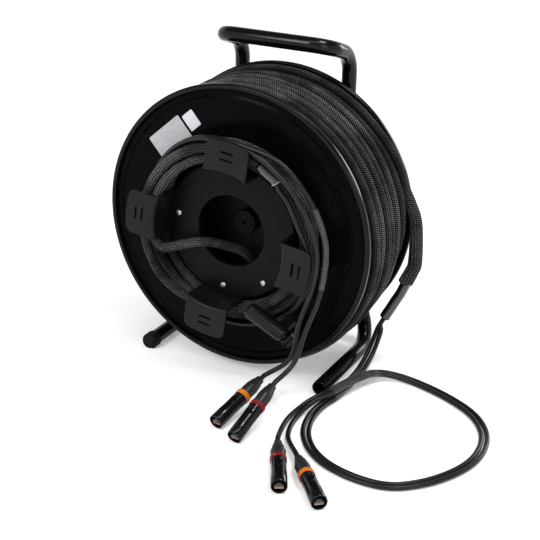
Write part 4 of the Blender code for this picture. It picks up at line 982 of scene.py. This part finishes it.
def make_screws():
    """Pan-head cross screws, each turned another way."""
    top = SCREW_HEIGHT
    outline = [(share * SCREW_RADIUS, level * top) for share, level in SCREW_SHAPE]
    for number, angle in enumerate([*HOOK_ANGLES, EXTRA_SCREW_ANGLE]):
        seat = around(SCREW_RING, angle, -HUB_FACE - GAP)
        screw = lathe(f"screw_{number + 1}", outline, 40, ZINC, "drum",
            [f"hub_screw_{number + 1}"], moved(seat) @ FACING_NEAR)
        turn = turned(0.7 * number + 0.3, 4, "Z") @ moved((0, 0, top))
        for size in ((RECESS_LENGTH, RECESS_WIDTH, top), (RECESS_WIDTH, RECESS_LENGTH, top)):
            cut_by(screw, boxes_mesh("recess", [(size, turn)]))


# Crank

def make_crank():
    """The grip: a slim handle with a rounded end, modelled over the CAD grip's own axis."""
    joint = next(item for item in frame["joints"] if item["name"] == "grip_spin")
    way = -Vector(joint["axis"]).normalized()
    base = Vector(joint["pos_m"]) - DRUM
    low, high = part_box("crank_grip")
    middle = (low + high) / 2 - DRUM
    if (middle - base).dot(way) < 0:
        way = -way
    long, radius, soft = GRIP_LENGTH, GRIP_RADIUS, GRIP_SOFT
    start = base + way * ((middle - base).dot(way) - long / 2)
    side = way.orthogonal().normalized()
    outline = [(GRIP_BORE, 0), (radius - 0.0016, 0), (radius - 0.0004, soft), (radius, 0.35 * long),
        (radius - 0.0003, long - 2 * soft), (radius - 0.0012, long - soft), (radius - 0.0035, long),
        (GRIP_WELL, long), (GRIP_WELL, long - GRIP_WELL_DEPTH), (GRIP_BORE, long - GRIP_WELL_DEPTH)]
    lathe("crank_handle_grip", outline, 64, GRIP_PLASTIC, "crank_handle", ["crank_grip"],
        axes_at(start, side, way.cross(side), way), bevel=0.0008)


# Wound cable

def wind_point(left):
    """A point on the outer layer, as in the CAD; left is the angle still to go to its end."""
    angle = EXIT_ANGLE + left
    y = WIND_END_Y - WIND_PITCH * left / TAU
    loose = Vector((0, y, -WIND_SAG)) + around(WIND_RADIUS, angle, 0)
    sunk = around(SUNK_RADIUS, angle, y)
    if left > TAU:
        return loose
    if left > TAU - SINK_ANGLE:
        return sunk.lerp(loose, along([(0, 0), (1, 1)], (left - TAU + SINK_ANGLE) / SINK_ANGLE))
    rise = max(0.0, 1 - left / RAMP_ANGLE)
    return around(SUNK_RADIUS + (EXIT_RADIUS - SUNK_RADIUS) * rise ** RAMP_POWER, angle, y)


def exit_way():
    tangent = Vector((sin(EXIT_ANGLE), 0, -cos(EXIT_ANGLE)))
    return tangent * cos(EXIT_SLOPE) + around(sin(EXIT_SLOPE), EXIT_ANGLE, 0)


def oval_of(angles, wide, tall):
    """The radius factors of an oval: tall at angle 90 degrees, wide at 0."""
    return 1 / np.sqrt((np.cos(angles) / wide) ** 2 + (np.sin(angles) / tall) ** 2)


def uneven(lengths, angles):
    """The wound sleeve's section: narrower across the lanes, and thinner in places."""
    slow = np.sin(lengths * 9.1) + np.sin(lengths * 3.7 + 1.3) + np.sin(lengths * 17.0 + 0.4)
    tall = WIND_TALL - 0.5 * WIND_VARIES * np.sin(lengths * 6.0 + 2.0)
    ripples = 0.008 * np.sin(lengths * 61.0 + 3 * np.sin(angles + lengths * 7))
    return oval_of(angles, WIND_NARROW + WIND_VARIES * slow, tall) + ripples


def wound_tone_and_shade(turns, angles):
    """How bright the braid's floats are: some turns are darker, and all get painted shade where they
    meet.
    """
    return np.interp(turns, *zip(*WIND_TONES)) * (1 - MEET_SHADE * np.abs(np.cos(angles)) ** 3)


def make_winding():
    loops = WIND_LOOPS * TAU
    count = round(WIND_LOOPS * WIND_STEPS)
    line = []
    for number in range(count + 1):
        left = loops * (1 - number / count)
        turn = left / TAU
        point = wind_point(left) if left > TAU - SINK_ANGLE else around(SUNK_RADIUS, EXIT_ANGLE + left,
            WIND_END_Y - WIND_PITCH * turn)
        out = Vector((point.x, 0, point.z)).normalized()
        dive = max(0.0, 1 - (loops - left) / WIND_DIVE)
        calm = min(1.0, max(0.0, (left - TAU) / RAMP_ANGLE))
        drop = along(WIND_DROPS, turn) + WIND_SWAY * (1 + sin(left * 1.7 + 0.6))
        sway = WIND_SWAY * sin(left * 0.83) + 0.0004 * sin(left * 2.9 + 1.0)
        line.append(point - out * (drop * calm + DIVE_DEPTH * dive * dive) + Vector((0, sway * calm, 0)))
    for number in range(1, 1 + WIND_STEPS // DIVE_PART):
        past = TAU * number / WIND_STEPS
        level = SUNK_RADIUS - DIVE_DEPTH * (past / (TAU / DIVE_PART)) ** 3
        line.append(around(level, EXIT_ANGLE - past, WIND_END_Y))
    tube("wound_cable", line, SLEEVE_DIAMETER / 2, WIND_SIDES, BRAID, "drum", ["cable_layer"],
        uneven, SLEEVE_CELLS, follow=Y_WAY,
        tone_and_shade=lambda lengths, angles: wound_tone_and_shade(WIND_LOOPS - lengths / TAU / WIND_RADIUS, angles))
    under = []
    steps = round(WIND_LOOPS * UNDER_STEPS)
    nearest = -FLANGE_INSIDE / 2 + WIND_NARROW * SLEEVE_DIAMETER / 2 + 2 * LANE_GAP
    for number in range(steps + 1):
        left = UNDER_START + (loops - UNDER_START) * number / steps
        raised = along([(TAU - SINK_ANGLE, 0), (TAU, 1)], left)
        level = UNDER_DEEP + (UNDER_RADIUS - UNDER_DEEP) * raised
        y = max(nearest, WIND_END_Y - WIND_PITCH * (left / TAU + 0.5))
        under.append(around(level, EXIT_ANGLE + left, y) - Vector((0, 0, WIND_SAG * raised)))
    # The layer below is darkened with painted shade
    tube("inner_cable", under, SLEEVE_DIAMETER / 2, UNDER_SIDES, BRAID, "drum", ["cable_core"],
        uneven, SLEEVE_CELLS, follow=Y_WAY, tone_and_shade=UNDER_SHADE)


def outer_turn():
    """The last turn as it comes off the drum: up out of the layer below and round to the exit."""
    line = []
    steps = round(LAST_TURN / TAU * WIND_STEPS)
    for number in range(steps + 1):
        left = LAST_TURN * (1 - number / steps)
        angle = EXIT_ANGLE + left
        share = along([(0, 0), (LAST_RISE, 1)], LAST_TURN - left)
        sag = -WIND_SAG * along([(0, 0), (RAMP_ANGLE, 1)], left)
        level = EXIT_RADIUS + (WIND_RADIUS - EXIT_RADIUS) * min(1.0, left / RAMP_ANGLE)
        high = Vector((0, WIND_END_Y, sag)) + around(level, angle, 0)
        line.append(around(SUNK_RADIUS - LAST_BURIED, angle, WIND_END_Y).lerp(high, share))
    line[-1] = wind_point(0)
    return line


# Connectors

def boot_shape(angle, radius, height):
    """Flattened sides near the rear and two raised ribs along the sides."""
    if radius < BOOT_CORE:
        return radius
    rear = max(0.0, 1 - height / BOOT_TAPER)
    flat = 1 - BOOT_FLAT * rear * (0.5 + 0.5 * cos(4 * angle))
    rib = exp(-((cos(angle) ** 2 - 1) / RIB_SPREAD) ** 2)
    lift = RIB_HEIGHT * rib * min(1.0, max(0.0, (height - RIB_START) / RIB_RISE))
    return radius * flat + (lift if height < BOOT_LENGTH - RIB_END else 0)


def connector(prefix, rear, way, colour, body):
    """Boot, coloured ring, shell with its latch, and plug; returns the four pieces."""
    side = side_of(way)
    place = axes_at(rear, side, side.cross(way), way)
    cable = CABLE_DIAMETER / 2 + HAIR
    outline = [(0, BOOT_BORE_DEPTH), (cable, BOOT_BORE_DEPTH), (cable, 0), (BOOT_REAR, 0)]
    outline += [(BOOT_REAR + (i + 1) * BOOT_STEP, level) for i, level in enumerate(BOOT_STEPS_AT)]
    outline += [(BOOT_FRONT, BOOT_TAPER), (BOOT_FRONT, BOOT_LENGTH), (0, BOOT_LENGTH)]
    boot = lathe(f"{prefix}_strain_boot", outline, 64, BOOT_PLASTIC, body,
        [f"{prefix}_boot"], place, bevel=0.0007, shape=boot_shape)
    start = BOOT_LENGTH + GAP
    end = start + RING_LENGTH
    outline = [(0, start), (RING_RADIUS - RING_EDGE, start), (RING_RADIUS, start + RING_EDGE)]
    for share in (0.28, 0.72):
        level = start + share * RING_LENGTH
        outline += [(RING_RADIUS, level - RING_GROOVE), (RING_RADIUS - RING_GROOVE, level),
            (RING_RADIUS, level + RING_GROOVE)]
    outline += [(RING_RADIUS, end - RING_EDGE), (RING_RADIUS - RING_EDGE, end), (0, end)]
    ring = lathe(f"{prefix}_colour_ring", outline, 72, (colour, SHELL_PAINT), body,
        [f"{prefix}_ring"], place)
    for face in ring.data.polygons:
        deep = RING_RADIUS - face.center.xy.length > RING_GROOVE / 4
        inside = abs(face.normal.z) < 0.9 and start + RING_EDGE < face.center.z < end - RING_EDGE
        face.material_index = int(deep and inside)
    start, end = end + GAP, PLUG_TOTAL
    neck, sunk, eased = (SHELL_RADIUS - less for less in (SHELL_NECK, SHELL_GROOVE, SHELL_EASE))
    outline = [(0, start), (neck, start)]
    part = SHELL_GROOVE_LENGTH / 3
    for number in range(SHELL_GROOVES):
        level = start + SHELL_GROOVE_START + number * SHELL_GROOVE_PITCH
        outline += [(neck, level), (sunk, level + part), (sunk, level + 2 * part),
            (neck, level + 3 * part)]
    outline += [(eased, end - SHELL_WIDENS[0]), (SHELL_RADIUS, end - SHELL_WIDENS[1]),
        (SHELL_RADIUS, end - MOUTH_EDGE), (eased, end), (RECESS_RADIUS + MOUTH_EDGE / 2, end),
        (RECESS_RADIUS, end - MOUTH_EDGE), (RECESS_RADIUS, end - RECESS_DEPTH), (0, end - RECESS_DEPTH)]
    shell = lathe(f"{prefix}_barrel_shell", outline, 80, SHELL_PAINT, body,
        [f"{prefix}_shell"], place)
    add_latch(shell, start)
    return [boot, ring, shell, make_insert(prefix, place, body)]


def add_latch(shell, start):
    """A slanting latch ridge and a key rib on the shell, joined to its mesh."""
    top = SHELL_RADIUS - SHELL_EASE
    aside, height = LATCH_SPOT
    latch = moved((aside, top, start + height)) @ turned(LATCH_TURN, 4, "Y")
    across, up, height = KEY_SPOT
    key = moved((top * across, top * up, start + height)) @ turned(KEY_TURN, 4, "Z")
    join_softened(shell, boxes_mesh("latch", [(LATCH_SIZE, latch), (KEY_SIZE, key)]), SHELL_EASE)


def make_insert(prefix, place, body):
    """The plug in the shell's mouth: a stepped clear block with eight contacts."""
    end = PLUG_TOTAL - RECESS_DEPTH + GAP + INSERT_LENGTH
    middle = end - INSERT_LENGTH / 2
    mesh = boxes_mesh(f"{prefix}_plug", [((wide * INSERT_WIDTH, tall * INSERT_HEIGHT, INSERT_LENGTH),
        moved((0, level * INSERT_HEIGHT, middle)))
        for wide, tall, level in ((1, 0.62, -0.19), (0.55, 0.3, 0.27))])
    with editing(mesh) as shape:
        soften_edges(shape, 0.0003, 1, 0.5)
        for number in range(CONTACTS):
            x = (number - (CONTACTS - 1) / 2) * CONTACT_PITCH
            spot = moved((x, -0.3 * INSERT_HEIGHT, end - 0.0001))
            for vertex in add_box(shape, CONTACT_SIZE, spot):
                for face in vertex.link_faces:
                    face.material_index = 1
    return piece(f"{prefix}_plug", mesh, (PLUG_BODY, BRASS), body, [f"{prefix}_insert"], place)


def lying_connector(prefix, rest, colour):
    (x, y), degrees = rest
    way = Vector((cos(radians(degrees)), sin(radians(degrees)), 0))
    rear = Vector((x, y, RING_RADIUS + GAP - AXLE_HEIGHT))
    return rear, way, connector(prefix, rear, way, colour, "stand")


# Outgoing end

def sleeve_end(lengths, angles):
    """The outgoing sleeve grows from the wound one's section to a wide, flat mouth."""
    share = np.clip(lengths / SLEEVE_RUN, 0, 1)
    turn = angles - MOUTH_TURN * np.sqrt(share)
    wide = WIND_NARROW + (MOUTH_WIDE - WIND_NARROW) * np.sqrt(share)
    oval = oval_of(turn, wide, WIND_TALL - 0.1 * share)
    aside = 1 - MOUTH_ASIDE * np.cos(turn) * share
    return oval * aside * (1 + 0.02 * np.sin(angles * 5 + lengths * 90) * share)


def shrink_shape(lengths, angles):
    return 1 - 0.04 * np.cos(2 * angles) + 0.02 * np.sin(lengths * 260 + angles)


def wide_film(lengths, angles):
    """A clear sleeve's section round two cables side by side, a little loose and wavy."""
    wide = (CABLE_DIAMETER / 2 + CLEAR_FLAT + CLEAR_LOOSE) / CLEAR_RADIUS
    return oval_of(angles, 1, wide) * (1 + 0.02 * np.sin(lengths * 210 + 2 * angles))


def between(point, low, high):
    """True where a point lies in a box, seen from above."""
    return low[0] <= point.x <= high[0] and low[1] <= point.y <= high[1]


def make_outgoing():
    start = wind_point(0) + exit_way() * GAP
    route = [start, *above_floor(OUT_SLEEVE)]
    leave = (route[-1] - route[-2]).normalized()
    line = smooth_route(square_ended(route, exit_way(), leave, SLEEVE_DIAMETER), SLEEVE_STEP)
    tube("outer_turn", outer_turn(), SLEEVE_DIAMETER / 2, WIND_SIDES, BRAID, "stand", (),
        lambda lengths, angles: uneven(lengths[-1] - lengths, angles), SLEEVE_CELLS, follow=Y_WAY,
        tone_and_shade=lambda lengths, angles: OUT_TONE * wound_tone_and_shade(2.0, angles))
    sleeve = tube("outgoing_sleeve", line, SLEEVE_DIAMETER / 2, 2 * WIND_SIDES, BRAID, "stand",
        ["out_sleeve"], sleeve_end, SLEEVE_CELLS, follow=Y_WAY, ends=(0.0, MOUTH_ROUND),
        tone_and_shade=lambda lengths, angles: OUT_TONE + 0.3 * lengths / SLEEVE_RUN)
    pair = above_floor(OUT_PAIR)
    joint = route[-1] + leave * GAP
    shrink_way = (pair[0] - joint).normalized()
    shrink_end = pair[0] - shrink_way * GAP
    shrink_line = spline([joint - leave * MOUTH_DEPTH, joint + leave * SHRINK_DIAMETER,
        shrink_end - shrink_way * SHRINK_DIAMETER, shrink_end])
    shrink = tube("outgoing_shrink", even(shrink_line, SHRINK_STEP), SHRINK_DIAMETER / 2, SHRINK_SIDES,
        SHRINK, "stand", ["out_heatshrink"], shrink_shape,
        ends=(SHRINK_ROUND, SHRINK_ROUND))
    tuple(start + DRUM)
    round(length_of(line), 3)
    in_frame(line)
    middle = [point for point in smooth_route(pair, CLEAR_STEP) if between(point, *CLEAR_OUT)]
    film = tube("outgoing_clear_sleeve", middle, CLEAR_RADIUS, 40, CLEAR, "stand", (),
        wide_film, follow=(0.0, 0.0, 1.0))
    for colour, offset, rest, last_stretch, finish in (("red", PAIR_SPACING / 2, RED_REST, OUT_RED, RED),
            ("orange", -PAIR_SPACING / 2, ORANGE_REST, OUT_ORANGE, ORANGE)):
        rear, way, plug = lying_connector(f"out_{colour}", rest, finish)
        strand = beside(pair, offset)
        strand[0] = pair[0] + side_of(shrink_way) * offset
        points = strand + above_floor(last_stretch) + [rear - way * GAP]
        line = smooth_route(square_ended(points, shrink_way, way, CABLE_DIAMETER), CABLE_STEP)
        cable = tube(f"outgoing_cable_{colour}", line, CABLE_DIAMETER / 2, CABLE_SIDES, CABLE, "stand",
            [f"out_cable_{colour}"])
        tuple(line[0] + DRUM)
        round(length_of(line), 3)
        in_frame(line)
        plug + ([film] if colour == "red" else [])


# Tail

def tail_level(turns):
    return TAIL_DEEP + TAIL_LAYER * along(TAIL_LAYERS, turns)


def tail_radius(turns):
    return TAIL_INNER + (TAIL_OUTER - TAIL_INNER) * along(TAIL_RINGS, turns)


def tail_point(turns):
    angle = TAIL_START_ANGLE - TAU * turns
    return around(tail_radius(turns), angle, -PLATE_FACE - tail_level(turns))


def thin_point(turns, forward):
    radius = along([(THIN_START, TAIL_OUTER), (THIN_START + THIN_SPREAD, THIN_RADIUS)], turns)
    level = along([(THIN_START + THIN_SINK[0], tail_level(TAIL_LOOPS)),
        (THIN_START + THIN_SINK[1], THIN_DEEP), (THIN_LEAVE - THIN_RISE, THIN_DEEP),
        (THIN_LEAVE, THIN_HIGH)], turns)
    return around(radius, TAIL_START_ANGLE - TAU * turns, -PLATE_FACE - level - forward)


def leaning_ends(nose, rear):
    """A connector's rear and its way, when its nose rests on the floor."""
    rear = Vector(rear)
    level = (Vector((*nose, 0)) - Vector((rear.x, rear.y, 0))).normalized()
    drop = rear.z + AXLE_HEIGHT - GAP
    lean = 0.0
    for _ in range(LEAN_STEPS):
        lean = asin((drop - SHELL_RADIUS * cos(lean)) / PLUG_TOTAL)
    return rear, level * cos(lean) - Vector((0, 0, sin(lean)))


def tail_uneven(lengths, angles):
    slow = np.sin(lengths * 17.0) + np.sin(lengths * 7.9 + 1.0)
    flats = np.cos(2 * angles + lengths * 9.0) * np.sin(lengths * 11.0)
    return 0.965 - 0.012 * slow + 0.025 * flats


def make_tail():
    route = from_mm(TAIL_ENTRY)
    start = route[0]
    entry = smooth_route([start - Vector((0, TAIL_DIAMETER, 0)), *route[1:],
        tail_point(-1 / TURN_POINTS)], TAIL_DIAMETER)
    turns = [number / TURN_POINTS for number in range(round(TAIL_LOOPS * TURN_POINTS) + 1)]
    points = [start] + entry + [tail_point(turn) for turn in turns]
    way = (tail_point(THIN_START) - points[-1]).normalized()
    points.append(points[-1] + way * TAIL_DIAMETER)
    joint = points[-1] + way * GAP
    shrink_end = joint + way * SHRINK_LENGTH
    route = smooth_route([*points, joint + way * SHRINK_LENGTH / 2, shrink_end], TAIL_STEP)
    last = len(route) - 1 - round((SHRINK_LENGTH + SHRINK_BACK) / TAIL_STEP)
    cover = last + round(SHRINK_LENGTH / TAIL_STEP)
    line = route[:last + 1]
    coil = tube("tail_sleeve", line, TAIL_DIAMETER / 2, TAIL_SIDES, TAIL_BRAID, "drum",
        ["tail_coil"], tail_uneven, TAIL_CELLS, ends=(0.0, 0.002))
    shrink = tube("tail_shrink", route[last:cover + 1], SHRINK_DIAMETER / 2, SHRINK_SIDES, SHRINK,
        "drum", ["tail_heatshrink"], shrink_shape, ends=(SHRINK_ROUND, 0.0))
    edge = tube("tail_shrink_edge", even(route[cover:cover + 2], TAIL_STEP / 4),
        SHRINK_DIAMETER / 2 + HAIR, SHRINK_SIDES, SHRINK_EDGE, "drum", ends=(0.0, 0.0004))
    tuple(start + DRUM)
    round(length_of(line), 3)
    in_frame(line)
    start_way = (route[cover + 1] - route[cover]).normalized()
    count = round((THIN_LEAVE - THIN_START) * TURN_POINTS)
    for colour, finish, forward, last_stretch, nose, rear in (("orange", ORANGE, PAIR_SPACING / 2,
            TAIL_ORANGE, TAIL_ORANGE_NOSE, TAIL_ORANGE_REAR),
            ("red", RED, -PAIR_SPACING / 2, TAIL_RED, TAIL_RED_NOSE, TAIL_RED_REAR)):
        rear, lean_way = leaning_ends(nose, rear)
        plug = connector(f"tail_{colour}", rear, lean_way, finish, "drum")
        first = [point + Vector((0, -forward, 0)) for point in route[cover + 1::THIN_EVERY]]
        wound = [thin_point(THIN_START + number / TURN_POINTS, forward) for number in range(2, count + 1)]
        points = [*first, *wound, *from_mm(last_stretch), rear - lean_way * GAP]
        line = calmed(smooth_route(square_ended(points, start_way, lean_way, CABLE_DIAMETER), CABLE_STEP))
        cable = tube(f"tail_thin_{colour}", line, CABLE_DIAMETER / 2, CABLE_SIDES, CABLE, "drum",
            [f"tail_cable_{colour}"])
        if colour == "red":
            lower = [point for point in line[len(line) // 2:]
                if point.x > 0 and CLEAR_TAIL[0] < point.z < CLEAR_TAIL[1]]
            plug.append(tube("tail_clear_sleeve", lower, CLEAR_RADIUS, 32, CLEAR, "drum"))
        tuple(line[0] + DRUM)
        round(length_of(line), 3)
        in_frame(line)


# CAD nodes that stay

def finish_cad():
    """Materials of the CAD nodes that stay, and the width of their bevels."""
    for name, material, width in (("axle_plate", FRAME_PAINT, 0.0008), ("axle", STEEL, 0),
            ("axle_clip", STEEL, 0), ("axle_washer", ZINC, 0), ("axle_nut", ZINC, 0.0006),
            ("brake_bush", ZINC, 0), ("brake_pad", RUBBER, 0), ("brake_knob", GRIP_PLASTIC, 0.0012),
            ("barrel", PLATE_PAINT, 0.0004), ("hub_plate", HUB_PLASTIC, 0.0004),
            ("cable_grommet", RUBBER, 0), ("front_bush", BRONZE, 0), ("rear_bush", BRONZE, 0),
            ("crank_bracket", RIM_PAINT, 0.0004), ("crank_pin", ZINC, 0.0004),
            ("crank_lug", RIM_PAINT, 0.0005), ("label_grey", GREY_PAPER, 0),
            ("label_white", WHITE_PAPER, 0)):
        kept = frame["nodes"][name]
        kept.data.materials.clear()
        kept.data.materials.append(material)
        if width:
            bevelled(kept, width)


# Camera, light and floor

CAMERA_PLACE = Vector((0.71165, -1.3296, 0.77817))
CAMERA_AZIMUTH = radians(27.6)
CAMERA_DOWN = radians(23.6)
CAMERA_ROLL = radians(1.1)
CAMERA_LENS = 80.53
SENSOR = 36.0

# Name, place, target, size, power and colour
LIGHTS = (("key", (0.75, 0.1, 2.25), (0.05, 0.0, 0.2), (0.5, 0.5), 24, (1.0, 0.98, 0.95)),
    ("front", (-0.9, -2.2, 1.9), (0.0, 0.0, 0.2), (0.9, 0.9), 36, (1.0, 1.0, 1.0)),
    ("strip", (0.3, -0.9, 2.1), (0.0, 0.0, 0.2), (2.6, 0.22), 16, (1.0, 1.0, 1.0)),
    ("back", (1.2, 2.2, 0.8), (0.1, 0.0, 0.15), (0.9, 0.9), 24, (0.8, 0.9, 1.0)),
    ("side", (2.1, -1.5, 1.1), (0.0, 0.0, 0.2), (0.9, 0.9), 10, (1.0, 1.0, 1.0)))
FLOOR_GLOW = (0.3, 0.8)       # near the reel and far from it
FLOOR_REACH = (0.9, 4.0)
CEILING = 0.15
FILL = 0.34
FLOOR_SIDE = 30.0


def make_camera():
    x, y = cos(CAMERA_AZIMUTH), sin(CAMERA_AZIMUTH)
    level = Vector((x, y, 0))
    forward = Vector((-y * cos(CAMERA_DOWN), x * cos(CAMERA_DOWN), -sin(CAMERA_DOWN)))
    up = level.cross(forward)
    right = level * cos(CAMERA_ROLL) + up * sin(CAMERA_ROLL)
    top = up * cos(CAMERA_ROLL) - level * sin(CAMERA_ROLL)
    data = bpy.data.cameras.new("camera")
    data.lens = CAMERA_LENS
    data.sensor_width = SENSOR
    data.clip_start = 0.05
    camera = add_object("camera", data)
    camera.matrix_world = axes_at(CAMERA_PLACE, right, top, -forward)
    bpy.context.scene.camera = camera


def area_light(name, place, target, size, power, colour):
    data = bpy.data.lights.new(name, "AREA")
    data.shape = "RECTANGLE"
    data.size, data.size_y = size
    data.energy = power
    data.color = colour
    lamp = add_object(name, data)
    lamp.location = place
    lamp.rotation_euler = (Vector(target) - Vector(place)).to_track_quat("-Z", "Y").to_euler()


def seen_rays(tree, *kinds):
    """One for the rays of these kinds, which see the background."""
    rays = tree.nodes.new("ShaderNodeLightPath")
    seen = 0.0
    for kind in kinds:
        seen = Wire(rays.outputs[f"Is {kind} Ray"]).math("MAXIMUM", seen)
    return seen


def make_stage():
    material, tree = new_material("pale_floor")
    place = make_node(tree, "TexCoord", "Object")
    distance = make_node(tree, "VectorMath", "Value", {0: place}, operation="LENGTH")
    glow = distance.spread(*FLOOR_REACH, *FLOOR_GLOW)
    fill(tree.nodes["Principled BSDF"], {"Base Color": (0.9, 0.9, 0.9), "Roughness": 0.9, SPECULAR: 0.0,
        "Emission Color": (1.0, 1.0, 1.0), "Emission Strength": seen_rays(tree, "Camera", "Glossy",
        "Transmission") * glow})
    corners = [(x * FLOOR_SIDE, y * FLOOR_SIDE, 0) for x, y in ((-1, -1), (1, -1), (1, 1), (-1, 1))]
    mesh = new_mesh("floor", corners, [(0, 1, 2, 3)])
    mesh.materials.append(material)
    floor = add_object("floor", mesh)
    floor.location.z = -GAP
    world = bpy.data.worlds.new("studio")
    bpy.context.scene.world = world
    world.use_nodes = True
    tree = world.node_tree
    height = make_node(tree, "SeparateXYZ", "Z", {0: make_node(tree, "TexCoord", "Generated")})
    backdrop = height.spread(0.3, 0.6, 1.0, CEILING)
    white = seen_rays(tree, "Camera", "Transmission") * (1 - FILL)
    shine = seen_rays(tree, "Glossy") * (backdrop - FILL)
    fill(tree.nodes["Background"], {"Color": (1.0, 1.0, 1.0), "Strength": white + shine + FILL})
    for light in LIGHTS:
        area_light(*light)


bpy.context.scene.view_settings.view_transform = "Standard"
make_camera()
make_outgoing()
make_tail()
make_stand()
make_drum()
make_hooks()
make_screws()
make_crank()
make_winding()
finish_cad()
make_stage()
